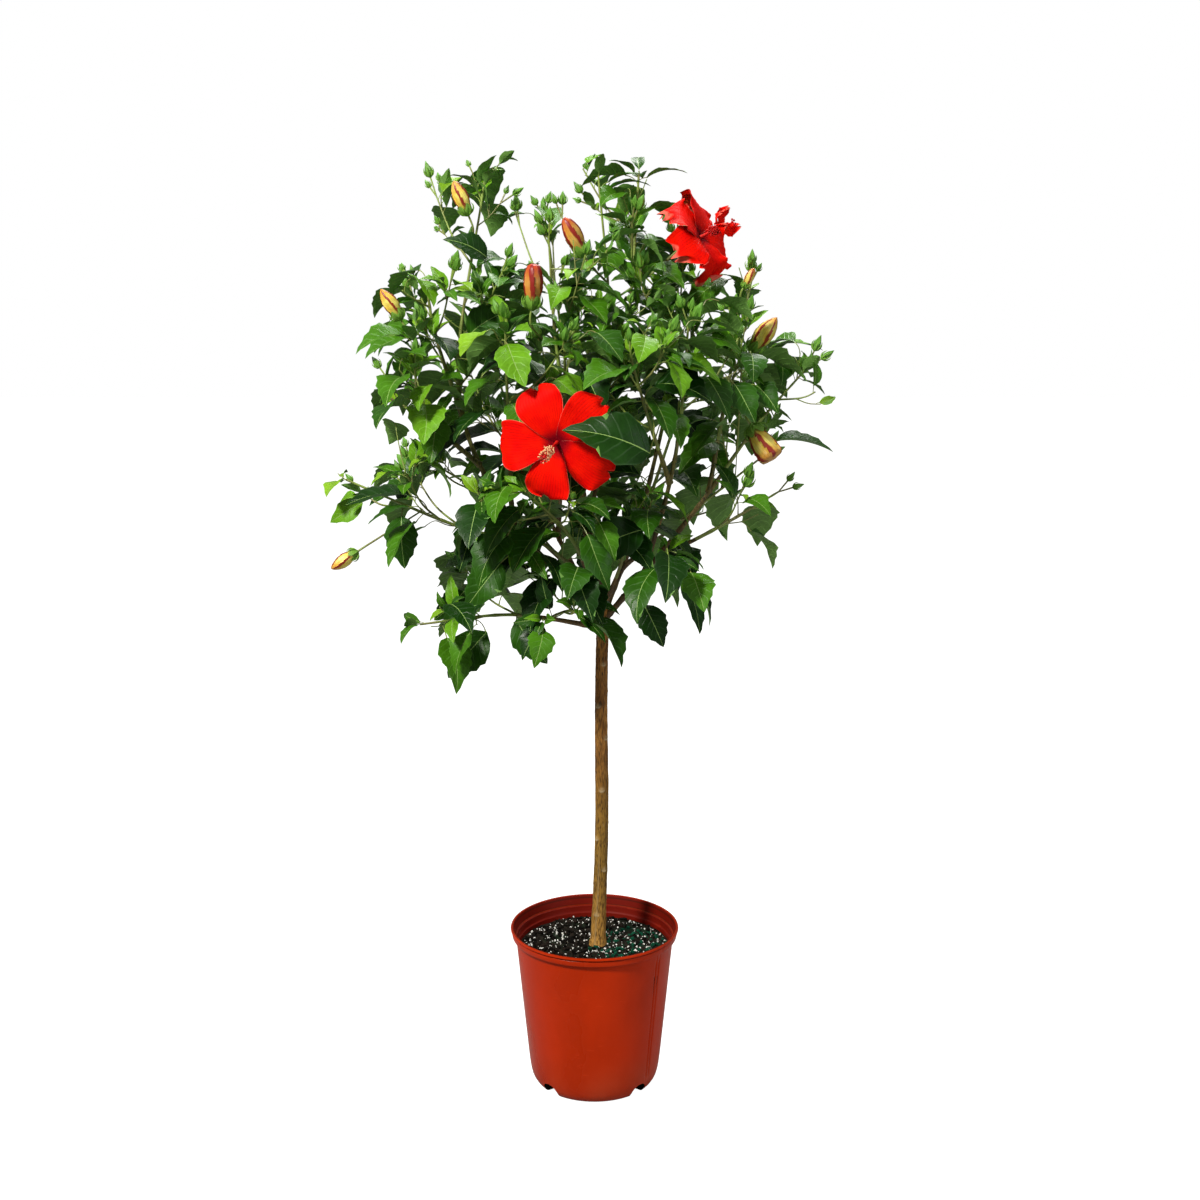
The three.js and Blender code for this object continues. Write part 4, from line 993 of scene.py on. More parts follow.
class Piece:
    """Batches of rings gathered into one mesh. Every shape is a stack of rings, closed at both
    ends, with a material number for each face and three values for each corner."""

    def __init__(self, name, slot=None, replaces=()):
        self.name = name
        self.slot = slot
        self.replaces = replaces
        self.points = []
        self.faces = []
        self.numbers = []
        self.places = []
        self.count = 0

    def add(self, rings, number=0, places=(0, 0, 0)):
        """Adds shapes given as an array of shape, ring, corner and coordinate, in millimetres."""
        shapes, rows, columns = rings.shape[:3]
        corner = np.arange(rows * columns).reshape(rows, columns)
        low, high = corner[:-1], corner[1:]
        quads = np.stack([low, np.roll(low, -1, 1), np.roll(high, -1, 1), high], -1).reshape(-1, 4)
        ends = np.stack([corner[0, ::-1], corner[-1]])
        offsets = self.count + np.arange(shapes)[:, None, None] * rows * columns
        numbers = np.broadcast_to(number, (shapes, rows - 1, columns))
        self.points.append(rings.reshape(-1, 3))
        self.faces.extend((quads[None] + offsets).reshape(-1, 4).tolist())
        self.faces.extend((ends[None] + offsets).reshape(-1, columns).tolist())
        self.numbers.append(numbers.ravel())
        self.numbers.append(np.repeat(numbers[:, 0, 0], 2))
        self.places.append(np.broadcast_to(places, rings.shape).reshape(-1, 3))
        self.count += shapes * rows * columns

    def make(self, materials, crease=50):
        """Makes the piece in the scene, smooth but for edges sharper than crease in degrees."""
        mesh = bpy.data.meshes.new(self.name)
        mesh.from_pydata(np.vstack(self.points) * MM, [], self.faces)
        for material in materials:
            mesh.materials.append(material)
        mesh.polygons.foreach_set("material_index", np.concatenate(self.numbers).astype(np.int32))
        place = mesh.attributes.new("place", "FLOAT_VECTOR", "POINT")
        place.data.foreach_set("vector", np.vstack(self.places).astype(np.float32).ravel())
        mesh.shade_smooth()
        mesh.set_sharp_from_angle(angle=math.radians(crease))
        piece = bpy.data.objects.new(self.name, mesh)
        bpy.context.scene.collection.objects.link(piece)
        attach(piece, "root")
        if self.replaces:
            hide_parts(*self.replaces)


def shares(count, start=0.0, end=1.0):
    """Even steps from start to end."""
    return np.linspace(start, end, count)


def turns(count):
    """Angles in even steps of one turn."""
    return 2 * np.pi * np.arange(count) / count


def spun(angle, side, over):
    """Directions at angles from side towards over: cos a·side + sin a·over."""
    return np.cos(angle)[..., None] * side + np.sin(angle)[..., None] * over


def upright(radius, angle, height):
    """Points at a radius, an angle and a height round the pot's axis."""
    return np.stack([radius * np.cos(angle), radius * np.sin(angle), height], -1)


def waves(around, along, seed, most, rate, count=14):
    """A relief from -1 to 1: a mean of waves sin(m·around + n·along + phase), with whole m up to
    most, n up to rate and their phases drawn at random."""
    draw = np.random.default_rng(seed)
    total = 0
    for _ in range(count):
        m = draw.integers(0, most + 1)
        n = draw.uniform(-rate, rate)
        total = total + np.sin(m * around + n * along + draw.uniform(0, 2 * np.pi))
    return total / math.sqrt(count)


def square_frame(ways):
    """Two directions square to each way and to each other."""
    level = np.where(abs(ways[..., 2:]) > 0.9, np.array([1.0, 0, 0]), UP)
    side = unit(np.cross(ways, level))
    return side, np.cross(ways, side)


def tube_rings(paths, radii, sides):
    """Rings round paths, given as an array of path, ring and coordinate. The corner at angle a is
    path + radius·(cos a·side + sin a·over). side is square to the path's heading and stays as near
    as it can to one direction, and over is square to both."""
    headings = unit(np.gradient(paths, axis=1))
    chord_side, _ = square_frame(unit(paths[:, -1] - paths[:, 0]))
    side = chord_side[:, None]
    side = unit(side - (side * headings).sum(-1, keepdims=True) * headings)
    over = np.cross(headings, side)
    radii = radii if radii.ndim == 3 else radii[..., None]
    return paths[:, :, None] + radii[..., None] * spun(turns(sides), side[:, :, None], over[:, :, None])


def stacked(growths, key):
    """One value of all growths as an array."""
    return np.array([growth[key] for growth in growths])


def leaf_rings(leaves, rows):
    """Closed blades of rings with seven corners: the right edge, the keel under the midrib, the
    left edge, then four corners above, two of them at the midrib. At share s of the blade the
    middle line is neck + way·length·s + normal·length·(arch·sin(pi·s^0.757) - curl·s^4) +
    side·length·swerve·sin(pi·s). Half the width goes with s^0.74·(1 - s)^1.2. Teeth widen every
    other ring and push it forwards. The halves fold up from the midrib, bulge between midrib and
    edge, wave at the edge and twist by an angle that grows with s."""
    count = len(leaves)
    neck, way, side, normal = (stacked(leaves, k)[:, None, None] for k in ("neck", "way", "side", "normal"))
    length = stacked(leaves, "length")[:, None]
    width = stacked(leaves, "width")[:, None]
    draw = random.uniform(-1, 1, (9, count, 1))
    s = shares(rows)[None]
    teeth = np.zeros((1, rows))
    teeth[0, 4::2] = 1
    teeth[0, 5::2] = -0.4
    teeth[0, -1] = 0
    half = 0.5 * LEAF_DRAWN * width * s**0.74 * (1 - s) ** 1.2 / LEAF_PEAK
    half = half * (1 + LEAF_TOOTH * teeth) + LEAF_RIM + 0.65 * (1 - s) ** 6
    rib = np.minimum((0.3 + 0.5 * (1 - s)) * (length / LEAF_LENGTH) ** 0.5, 0.3 * half)
    across = half[..., None] * np.array([1, 0, -1, -0.5, 0, 0, 0.5])
    across[..., 4] = -rib
    across[..., 5] = rib
    slope = LEAF_SLOPE * (1 + 0.6 * draw[0]) * (1 - 0.35 * s)
    bulge = LEAF_BULGE * half * (1 + 0.35 * teeth)
    wave = LEAF_WAVE * (1 + 0.6 * draw[1]) * half * np.sin(np.pi * s)
    right = wave * np.sin(2 * np.pi * (1.7 * s + draw[2]))
    left = wave * np.sin(2 * np.pi * (1.7 * s + draw[3]))
    over = slope[..., None] * abs(across)
    over[..., 0] += right
    over[..., 2] += left
    over[..., 3] += bulge + 0.3 * left
    over[..., 6] += bulge + 0.3 * right
    over[..., 1] = -(0.35 + 0.75 * (1 - s))
    forward = np.zeros_like(across)
    forward[..., [0, 2]] = (LEAF_TOOTH_REACH * length * np.maximum(teeth, 0))[..., None]
    twist = (LEAF_TWIST * draw[4] * (s - 0.2))[..., None]
    turned = across * np.cos(twist) - over * np.sin(twist)
    raised = across * np.sin(twist) + over * np.cos(twist)
    arch = LEAF_ARCH * np.sin(np.pi * s**0.757) - LEAF_CURL * (1 + 0.8 * draw[5]) * s**4
    swerve = LEAF_SWERVE * draw[6] * np.sin(np.pi * s)
    rings = neck + way * (length * s)[..., None, None] + way * forward[..., None]
    rings = rings + normal * (length * arch)[..., None, None] + side * (length * swerve)[..., None, None]
    rings = rings + side * turned[..., None] + normal * raised[..., None]
    places = np.zeros(rings.shape)
    places[..., 0] = [1, 0, -1, -0.5, 0, 0, 0.5]
    places[..., 1] = s[..., None]
    places[..., 2] = 0.5 + 0.5 * draw[7][..., None]
    return rings, places


def leaf_tints(leaves):
    """A tint for each leaf, from 0, dark, to 4, young: leaves are brighter higher up and further out,
    as painted light on the top and outside of the crown and painted shade within it, and small ones
    are young."""
    middle = stacked(leaves, "waist")
    height = (middle[:, 2] - 650) / 700
    outward = np.hypot(middle[:, 0] + 15, middle[:, 1]) / 330
    small = 1 - stacked(leaves, "length") / 95
    # Height and distance from the middle paint light and shade; smallness and chance give the leaves' own
    # tone.
    bright = LEAF_BRIGHTNESS + PAINTED_LIGHT_HIGH * height + PAINTED_LIGHT_OUTSIDE * outward + BRIGHT_SMALL * small
    bright = bright + BRIGHT_SPREAD * random.uniform(-1, 1, len(leaves))
    dark = [leaf.get("dark", False) for leaf in leaves]
    return np.where(dark, 0, np.digitize(bright, TINT_STEPS))


def petiole_rings(leaves):
    """Petioles from twig to blade: foot + (neck - foot)·t + bend·4·t·(1 - t) + 1.5·way·t, where bend
    leads away from the blade. The radius, size·(0.78 + 0.35·(2·t - 1)^4), swells at each end."""
    foot, neck, way = (stacked(leaves, k)[:, None] for k in ("foot", "neck", "way"))
    t = shares(PETIOLE_GRID[0])[None, :, None]
    span = np.linalg.norm(neck - foot, axis=-1, keepdims=True)
    bend = (UP * 0.1 - way * 0.12) * span
    paths = foot + (neck - foot) * t + bend * 4 * t * (1 - t) + way * 1.5 * t
    size = (stacked(leaves, "length") / LEAF_LENGTH)[:, None] ** 0.5
    radii = size * (0.78 + 0.35 * (2 * t[..., 0] - 1) ** 4)
    return tube_rings(paths, radii, PETIOLE_GRID[1])


def limb_rings(limb, grid, start, end, nodes, collar=0.0):
    """A limb from start to end with a little bark relief, a collar at its foot and a swelling at
    each node, by distance d from the foot or node: radius·(1 + collar·exp(-d/collar reach) +
    swell·exp(-(d/node reach)^2))·(1 + relief·waves)."""
    rows, sides = grid
    curve = limb["curve"]
    s = shares(rows, start, end)
    near = (s[:, None] - np.array(nodes)[None]) * curve.length / NODE_REACH
    swelling = NODE_SWELL * np.exp(-near * near).sum(1)
    swelling = swelling + collar * np.exp(-(s - start) * curve.length / COLLAR_REACH)
    radii = limb["radius_at"](s) * (1 + swelling)
    rough = waves(turns(sides)[None], s[:, None] * curve.length / 8, limb["index"], 3, 1)
    relief = 1 + LIMB_RELIEF * rough
    return tube_rings(curve.at(s)[None], (radii[:, None] * relief)[None], sides)


def trunk_rings():
    """The trunk: radius·(1 + lobes) + rough bark + scars + pores - a crease up its left front. The
    scars are raised crescents by turns up the stem, where height = level + bend·aside^2. The masks
    of crease and scars go into the place values."""
    rows, sides = TRUNK_GRID
    s = shares(rows)[:, None]
    angle = turns(sides)[None]
    length = trunk["curve"].length
    height = s * length
    radius = trunk["radius_at"](s)
    lobes = 0.035 * np.cos(2 * angle + 0.6 + height / 240) + 0.02 * np.cos(3 * angle + height / 90)
    rough = 0.22 * waves(angle, height / 7, 3, 9, 1.2, 30) + 0.16 * waves(angle, height / 2.4, 5, 16, 1, 30)
    crease_angle = CREASE_ANGLE + 0.12 * np.sin(height / 60)
    off = np.angle(np.exp(1j * (angle - crease_angle)))
    crease = np.exp(-((off * radius / CREASE_WIDTH) ** 2)) * np.clip((CREASE_LENGTH - height) / 60, 0, 1)
    scars = np.zeros((rows, sides))
    for number, level in enumerate(np.arange(SCARS_FROM, length - SCARS_END, SCAR_STEP)):
        turn = number * GOLDEN_TURN + 0.4
        aside = np.angle(np.exp(1j * (angle - turn))) * radius
        crescent = height - level - SCAR_BEND * aside * aside
        scars += np.exp(-((crescent / SCAR_THICKNESS) ** 2)) * np.exp(-((aside / SCAR_WIDTH) ** 4))
        scars += 0.5 * np.exp(-(((height - level - 3.5) / 2.4) ** 2) - (aside / 3.4) ** 2)
    pores = np.clip(waves(angle, height / 3.2, 11, 22, 1, 40) - 1.9, 0, 1)
    marks = SCAR_HEIGHT * np.clip(scars, 0, 1) + PORE_RISE * pores - CREASE_DEPTH * crease
    radii = radius * (1 + lobes) + rough + marks
    rings = tube_rings(trunk["curve"].at(s[:, 0])[None], radii[None], sides)
    # The lowest ring stands level on the soil.
    rings[0, 0, :, 2] = SOIL_TOP + GAP
    rings[0, 1:, :, 2] = np.maximum(rings[0, 1:, :, 2], SOIL_TOP + GAP)
    masks = np.stack([crease, np.clip(scars + pores, 0, 1), s + 0 * angle], -1)
    return rings, masks[None]


def bud_frames(buds):
    """Start, way, length, width and the two square directions of buds, one row for each bud."""
    start = stacked(buds, "start")
    way = stacked(buds, "tip") - start
    length = np.linalg.norm(way, axis=1, keepdims=True)
    way = way / length
    side, over = square_frame(way)
    return start, way, length, stacked(buds, "width")[:, None], side, over


def spindle_rings(buds, grid, swell, ribs, ribbing, twist=0.0):
    """Buds as spindles: at share s the radius is width/2·swell(s)·(1 + ribbing·sin(pi·s)·saw),
    where saw rises and falls ribs times round the bud and winds about it by twist turns. A bud
    that opens swells towards its end instead."""
    start, way, length, width, side, over = bud_frames(buds)
    rows, sides = grid
    s = shares(rows)[None, :, None]
    angle = turns(sides)[None, None]
    phase = (ribs * angle / (2 * np.pi) + twist * s) % 1
    saw = phase**2 if twist else np.cos(2 * np.pi * phase)
    flare = np.array([bud.get("flare", 0) for bud in buds])[:, None, None]
    swelling = (1 - flare) * value_at(swell, s) + flare * value_at(OPEN_SWELL, s)
    radii = 0.5 * width[..., None] * swelling * (1 + ribbing * (np.sin(np.pi * s) + flare * s**4) * saw)
    out = spun(angle, side[:, None, None], over[:, None, None])
    rings = start[:, None, None] + way[:, None, None] * (length[..., None] * s)[..., None]
    rings = rings + radii[..., None] * out
    phases = np.broadcast_to(phase, radii.shape)
    places = np.stack([phases, np.broadcast_to(s, radii.shape), np.zeros(radii.shape)], -1)
    return rings, places


def bract_rings(starts, ways, reach, spread):
    """Narrow leaflets round the foot of a bud or bloom, by turns round it: each leaves the foot
    outwards, rises beside it by reach·(0.1 + 0.9·t^1.3), lies out by spread·(0.35 +
    0.85·sin(2.2·t)) and ends in a point."""
    side, over = square_frame(ways)
    angle = 2 * np.pi * (np.arange(BRACTS) + 0.3)[None] / BRACTS + np.arange(len(starts))[:, None]
    out = spun(angle, side[:, None], over[:, None])
    t = shares(len(BRACT_RADII))[None, None, :, None]
    rise = reach[:, None, None, None] * (0.1 + 0.9 * t**1.3)
    away = spread[:, None, None, None] * (0.35 + 0.85 * np.sin(2.2 * t))
    paths = starts[:, None, None] + ways[:, None, None] * rise + out[:, :, None] * away
    radii = np.repeat(reach, BRACTS)[:, None] * np.array(BRACT_RADII)[None]
    return tube_rings(paths.reshape(-1, len(BRACT_RADII), 3), radii, 4)


def cup_rings(starts, ways, length, radius):
    """Green cups: a wall that swells from its foot and ends in pointed lobes, outside then inside.
    Its rim stands at length·(1 - depth + depth·|cos(lobes·a/2)|^1.4) at angle a."""
    side, over = square_frame(ways)
    angle = turns(CUP_SIDES)
    rim = 1 - CUP_DEPTH + CUP_DEPTH * abs(np.cos(CUP_LOBES * angle / 2)) ** 1.4
    s = np.concatenate([shares(9), shares(7, 0.96, 0.12)])[:, None]
    inner = np.concatenate([np.zeros(9), np.full(7, CUP_WALL)])[:, None]
    wall = np.array(radius)[:, None, None] * (0.28 + 0.95 * np.sin(1.75 * s**0.8)) / 1.2 - inner
    rise = np.array(length)[:, None, None] * s * rim
    out = spun(angle, side[:, None, None], over[:, None, None])
    return starts[:, None, None] + ways[:, None, None] * rise[..., None] + out * wall[..., None]


def petal_rings(bloom, number, reflex):
    """A petal as a thin closed shell. At share v of its length and part u of its half width it
    lies out by size·petal_out(v), forwards by petal_forward(v) + cupping·wide^2 + tilt·wide -
    reflex·length·(v^2 + 1.5·v^8), and across by wide = u·half(v)·spread. It tilts over its
    neighbour, waves towards its edges by ruffle, and its end is lobed."""
    rows, corners = PETAL_GRID
    out, across = bloom["petals"][number]
    size, ruffle = bloom["sizes"][number], bloom["ruffle"]
    draw = random.uniform(-1, 1, 6)
    v = (0.015 + 0.975 * (0.5 - 0.5 * np.cos(np.pi * shares(rows))))[:, None]
    angle = turns(corners)[None]
    u = np.cos(angle)
    wide = u * petal_half(v, 0.46) * PETAL_FULL * bloom["spread"] * (1 + 0.05 * draw[0])
    dent = np.exp(-(((u - 0.25 * draw[2]) / 0.3) ** 2))
    lobed = ruffle * (0.045 * np.sin(4.2 * u + 3 * draw[1]) - 0.03 * dent)
    reach = size * petal_out(v) * (1 + 0.05 * draw[3])
    reach = reach + PETAL_LENGTH * lobed * v**5 - PETAL_CLAW * (1 - v) ** 6
    edge = PETAL_RUFFLE * v**2 * u * u * np.sin(2 * np.pi * (2.1 * v + draw[4]) + 1.5 * u)
    edge = edge + PETAL_FRILL * (ruffle - 1) * v * u**4 * np.sin(2 * np.pi * (4.7 * v - draw[4]))
    end = PETAL_END * v**6 * np.sin(2.2 * np.pi * u + 6 * draw[5])
    pleats = PETAL_PLEATS * np.cos(9 * np.pi * u) * np.sin(np.pi * v)
    bent = reflex * PETAL_LENGTH * (v * v + 1.5 * v**8)
    forward = petal_forward(v) + PETAL_CUPPING * wide * wide - bent
    forward = forward + PETAL_TILT * wide + ruffle * (edge + end + pleats)
    forward = forward + PETAL_THICKNESS * np.sin(angle)
    rings = out * reach[..., None] + across * wide[..., None] + bloom["faces"] * forward[..., None]
    places = np.stack([u + 0 * v, v + 0 * u, 0 * u * v + (ruffle - 1) / 0.9], -1)
    return rings[None], places[None]


def ball_rings(centres, ways, length, radius, sides=6, rows=5):
    """Small rounded grains: at share s the radius is radius·sin(pi·s)^0.7."""
    side, over = square_frame(ways)
    s = shares(rows, 0.06, 0.94)
    out = spun(turns(sides), side[:, None], over[:, None])
    lengthwise = (length[:, None] * (s - 0.5))[..., None, None] * ways[:, None, None]
    crosswise = (radius[:, None] * np.sin(np.pi * s) ** 0.7)[..., None, None] * out[:, None]
    return centres[:, None, None] + lengthwise + crosswise


def column_of(bloom):
    """The middle line of a bloom's column: throat + faces·length·t, drooping by 5·t^2."""
    t = shares(20)[:, None]
    return bloom["throat"] + bloom["faces"] * (bloom["column"] * COLUMN_LENGTH * t) - UP * (5 * t * t)


def pot_profile():
    """The pot's profile as [radius, height]: underside, foot, wall, the rim band, the rounded rim,
    and the stepped inside down to the floor."""
    band = POT_HEIGHT - RIM_BAND
    inner = WALL_TOP_RADIUS - WALL
    lean = (WALL_TOP_RADIUS - WALL_FOOT_RADIUS) / (band - FOOT_RISE)
    wall = [
        [WALL_FOOT_RADIUS + lean * rise - 1.4 * math.exp(-rise / 9), FOOT_RISE + rise]
        for rise in np.linspace(3, 206, 28)
    ]
    inside = [[inner - 1.6 - lean * drop, band - 12 - drop] for drop in np.linspace(2, 194, 10)]
    return np.array([
        [1, 0], [60, 0], [FOOT_RADIUS - 4, 0], [FOOT_RADIUS - 0.6, 0], [FOOT_RADIUS + 1.8, 1.2],
        [FOOT_RADIUS + 4.4, 4], [FOOT_RADIUS + 7, 8.2], [FOOT_RADIUS + 8.8, 12.4],
        [WALL_FOOT_RADIUS - 1.6, FOOT_RISE], *wall,
        [WALL_TOP_RADIUS - 0.4, band - 2], [WALL_TOP_RADIUS + 0.1, band], [WALL_TOP_RADIUS + 1.2, band + 1],
        [RIM_RADIUS - 4.4, band + 1.2], [RIM_RADIUS - 3, band + 1.8], [RIM_RADIUS - 2.4, band + 3.2],
        [RIM_RADIUS - 2.2, POT_HEIGHT - LIP - 2.4], [RIM_RADIUS - 3.2, POT_HEIGHT - LIP - 1],
        [RIM_RADIUS - 2.6, POT_HEIGHT - LIP], [RIM_RADIUS - 0.3, POT_HEIGHT - LIP + 0.5],
        [RIM_RADIUS, POT_HEIGHT - 2.6], [RIM_RADIUS - 0.6, POT_HEIGHT - 0.8], [RIM_RADIUS - 2, POT_HEIGHT],
        [RIM_RADIUS - 3.4, POT_HEIGHT - 0.9], [RIM_RADIUS - 4.2, POT_HEIGHT - 3],
        [inner + 4, band + 3], [inner + 3.2, band], [inner + 1.2, band - 1.4], [inner + 0.8, band - 3],
        [inner + 0.6, band - 9], [inner - 0.4, band - 11], [inner - 1.6, band - 12],
        *inside, [WALL_FOOT_RADIUS - WALL, FOOT_RISE + 1], [FOOT_RADIUS, 3.5], [1, 3.5],
    ])


def pot_rings():
    """The pot: its profile turned round, with arched drains in the foot and one shallow groove
    down the right front and another opposite. Under a drain's arch, whose height at distance d
    from its middle is low + (w^2 - d^2)^0.5, the foot is set back to a recess."""
    profile = pot_profile()
    half = DRAIN_WIDTH / 2
    steps = half / FOOT_RADIUS * np.append(np.sin(np.pi * shares(19, -0.5, 0.5)), [-1.02, 1.02])
    drains = np.pi * (2 * np.arange(DRAIN_COUNT) + 1) / DRAIN_COUNT
    grooves = GROOVE_ANGLE + np.array([0, np.pi])
    angle = np.concatenate([
        turns(POT_SIDES),
        (drains[:, None] + steps[None]).ravel(),
        (grooves[:, None] + shares(31, -0.09, 0.09)[None]).ravel(),
    ])
    angle = np.unique(np.round(angle % (2 * np.pi), 4))
    radius = profile[:, :1] + 0 * angle
    height = profile[:, 1:] + 0 * angle
    off = np.angle(np.exp(1j * (angle[:, None] - drains[None])))
    aside = np.abs(off).min(1) * FOOT_RADIUS
    drained = aside < half
    arch = DRAIN_HEIGHT - half + np.sqrt(np.maximum(half**2 - aside**2, 0))
    # In a drain, rows 2 to 4 of the profile line the recess, row 5 is the arch's outer edge, and
    # the rows after it lie on the outside above the arch.
    outer = profile[3 : DRAIN_TOP_ROW + 1]
    recess = FOOT_RADIUS - DRAIN_RECESS + 0 * arch
    lining = [(recess - 1, 0 * arch), (recess, 0 * arch), (recess, arch)]
    for row in range(5, DRAIN_TOP_ROW):
        level = arch if row == 5 else np.maximum(arch + 0.4 * (row - 5), profile[row, 1])
        lining.append((np.interp(level, outer[:, 1], outer[:, 0]), level))
    # The inside passes over the recess.
    inner_rows = [(-3, radius[-3], np.maximum(height[-3], arch + 2)), (-2, recess - 2, arch + 2)]
    changes = [(row, *new) for row, new in enumerate(lining, 2)] + inner_rows
    for row, new_radius, new_height in changes:
        radius[row] = np.where(drained, new_radius, radius[row])
        height[row] = np.where(drained, new_height, height[row])
    groove = np.angle(np.exp(1j * 2 * (angle - GROOVE_ANGLE))) / 2 * WALL_TOP_RADIUS
    depth = GROOVE_DEPTH * np.exp(-(((np.abs(groove) - GROOVE_APART) / GROOVE_WIDTH) ** 2))
    outside = np.clip((height - 22) / 12, 0, 1) * np.clip((POT_HEIGHT - RIM_BAND - 6 - height) / 8, 0, 1)
    outside[OUTSIDE_ROWS:] = 0
    radius = radius - depth * outside
    kinds = np.zeros((len(profile) - 1, len(angle)), int)
    # The inside rows take the inside finish: the same plastic, made much darker as painted shade.
    kinds[INSIDE_FROM:] = 1
    # The drain recesses take the dark soil finish as painted shade.
    kinds[DRAIN_ROWS, drained | np.roll(drained, -1)] = 2
    return upright(radius, angle, height)[None], kinds[None]


def soil_height(radius, angle):
    """The lumpy face of the soil: top - drop·(radius/wall)^2 + lumps, which calm down towards the
    wall and the trunk's foot."""
    edge = np.clip(radius / SOIL_RADIUS, 0, 1)
    lumps = waves(angle, radius / 1.6, 21, 44, 1, 40) + waves(angle, radius / 8, 22, 9, 1, 20)
    calm = np.clip((radius - 15) / 25, 0, 1) * np.clip((SOIL_RADIUS - radius) / 4, 0.2, 1)
    return SOIL_TOP - SOIL_EDGE_DROP * edge**2 + SOIL_LUMPS * lumps * calm


def soil_rings():
    """The bed: its lumpy face from the middle to the wall, then down its side to the floor."""
    rows, sides = SOIL_GRID
    angle = turns(sides)[None]
    radius = shares(rows, 0.5, SOIL_RADIUS)[:, None] + 0 * angle
    height = soil_height(radius, angle)
    low = np.array([[SOIL_RADIUS, 190], [WALL_FOOT_RADIUS - WALL - 1, FOOT_RISE + 1], [1, 3.8]])
    radius = np.vstack([radius, low[:, :1] + 0 * angle])
    height = np.vstack([height, low[:, 1:] + 0 * angle])
    return upright(radius, angle, height)[None, ::-1]


def grain_rings(count, seed, sizes, flat):
    """Rough grains strewn over the soil: each a short stack of uneven rings, sunk a little."""
    draw = np.random.default_rng(seed)
    small, large = sizes
    radius = (SOIL_RADIUS - 3) * np.sqrt(draw.uniform(0.02, 1, count))
    angle = draw.uniform(0, 2 * np.pi, count)
    size = small + (large - small) * draw.uniform(0, 1, count) ** 2.2
    centres = upright(radius, angle, soil_height(radius, angle) + 0.25 * size)
    ways = unit(draw.normal(size=(count, 3)) + UP * 0.3)
    rings = ball_rings(centres, ways, size * flat, size * 0.55, 5, 4)
    spread = rings - centres[:, None, None]
    return centres[:, None, None] + spread * draw.uniform(0.65, 1.3, rings.shape[:3] + (1,)), centres


class Nodes:
    """Adds nodes to a node tree. A value given for a socket is a number, a colour or the output of
    another node, which is linked to it."""

    def __init__(self, tree):
        self.tree = tree
        tree.nodes.clear()

    def give(self, socket, value):
        if isinstance(value, bpy.types.NodeSocket):
            self.tree.links.new(value, socket)
        else:
            socket.default_value = value

    def add(self, kind, inputs, **settings):
        node = self.tree.nodes.new("ShaderNode" + kind)
        for key, value in settings.items():
            setattr(node, key, value)
        for key, value in inputs.items():
            self.give(node.inputs[key], value)
        return node

    def math(self, operation, *values):
        return self.add("Math", dict(enumerate(values)), operation=operation).outputs[0]

    def times(self, first, second):
        return self.math("MULTIPLY", first, second)

    def ramp(self, value, low, high, start=0.0, end=1.0):
        """Values from start to end as value goes from low to high."""
        numbers = {"Value": value, "From Min": low, "From Max": high, "To Min": start, "To Max": end}
        return self.add("MapRange", numbers, interpolation_type="SMOOTHSTEP").outputs[0]

    def mix(self, share, first, second):
        """A colour between two others."""
        return self.add("Mix", {0: share, 6: first, 7: second}, data_type="RGBA").outputs[2]

    def fade(self, first, second, value, low, high, start=0.0, end=1.0):
        """A colour that goes from first to second as value goes from low to high."""
        return self.mix(self.ramp(value, low, high, start, end), first, second)

    def noise(self, place, scale, detail=4.0):
        return self.add("TexNoise", {"Vector": place, "Scale": scale, "Detail": detail}).outputs[0]

    def stretched(self, across, upward):
        """Places on the piece in metres, scaled across and upward."""
        place = self.add("TexCoord", {}).outputs["Object"]
        return self.add("Mapping", {"Vector": place, "Scale": (across, across, upward)}).outputs[0]

    def grain(self, across, upward, detail):
        """Noise with this many waves to a metre across and upward."""
        return self.noise(self.stretched(across, upward), 1.0, detail)

    def height(self):
        """The height on the piece in metres."""
        return self.add("SeparateXYZ", {0: self.stretched(1.0, 1.0)}).outputs[2]

    def place(self):
        """The three values stored with the corners: across, along and a third."""
        values = self.add("Attribute", {}, attribute_name="place").outputs["Vector"]
        return self.add("SeparateXYZ", {0: values}).outputs

    def bump(self, height, distance):
        return self.add("Bump", {"Height": height, "Distance": distance}).outputs[0]

    def use(self, group, **inputs):
        node = self.tree.nodes.new("ShaderNodeGroup")
        node.node_tree = group
        for key, value in inputs.items():
            self.give(node.inputs[key], value)
        return node.outputs


def rgb(red, green, blue):
    return (red, green, blue, 1.0)


def scaled(colour, factor, lift=0.0):
    """A colour with its red, green and blue scaled, lifted and kept under 1."""
    return rgb(*(min(1, factor * part + lift) for part in colour[:3]))


def effect(name, inputs, outputs, build):
    """A shared node group. build gets its nodes and inputs and returns its outputs."""
    tree = bpy.data.node_groups.new(name, "ShaderNodeTree")
    nodes = Nodes(tree)
    for key, kind in inputs.items():
        tree.interface.new_socket(key, in_out="INPUT", socket_type="NodeSocket" + kind)
    for key, kind in outputs.items():
        tree.interface.new_socket(key, in_out="OUTPUT", socket_type="NodeSocket" + kind)
    source = tree.nodes.new("NodeGroupInput")
    target = tree.nodes.new("NodeGroupOutput")
    for key, value in build(nodes, source.outputs).items():
        tree.links.new(value, target.inputs[key])
    return tree


def build_mottle(nodes, inputs):
    """Broad and fine patches, lighter and darker than the colour."""
    place = nodes.add("TexCoord", {}).outputs["Object"]
    broad = nodes.noise(place, inputs["Scale"])
    fine = nodes.noise(place, nodes.times(inputs["Scale"], 7.3))
    both = nodes.math("ADD", nodes.times(broad, 0.65), nodes.times(fine, 0.35))
    spread = nodes.ramp(both, 0.3, 0.7)
    light = nodes.math("MULTIPLY_ADD", nodes.math("SUBTRACT", spread, 0.5), inputs["Amount"], 1.0)
    shaded = nodes.add("VectorMath", {0: inputs["Colour"], "Scale": light}, operation="SCALE")
    return {"Colour": shaded.outputs[0], "Patches": spread}


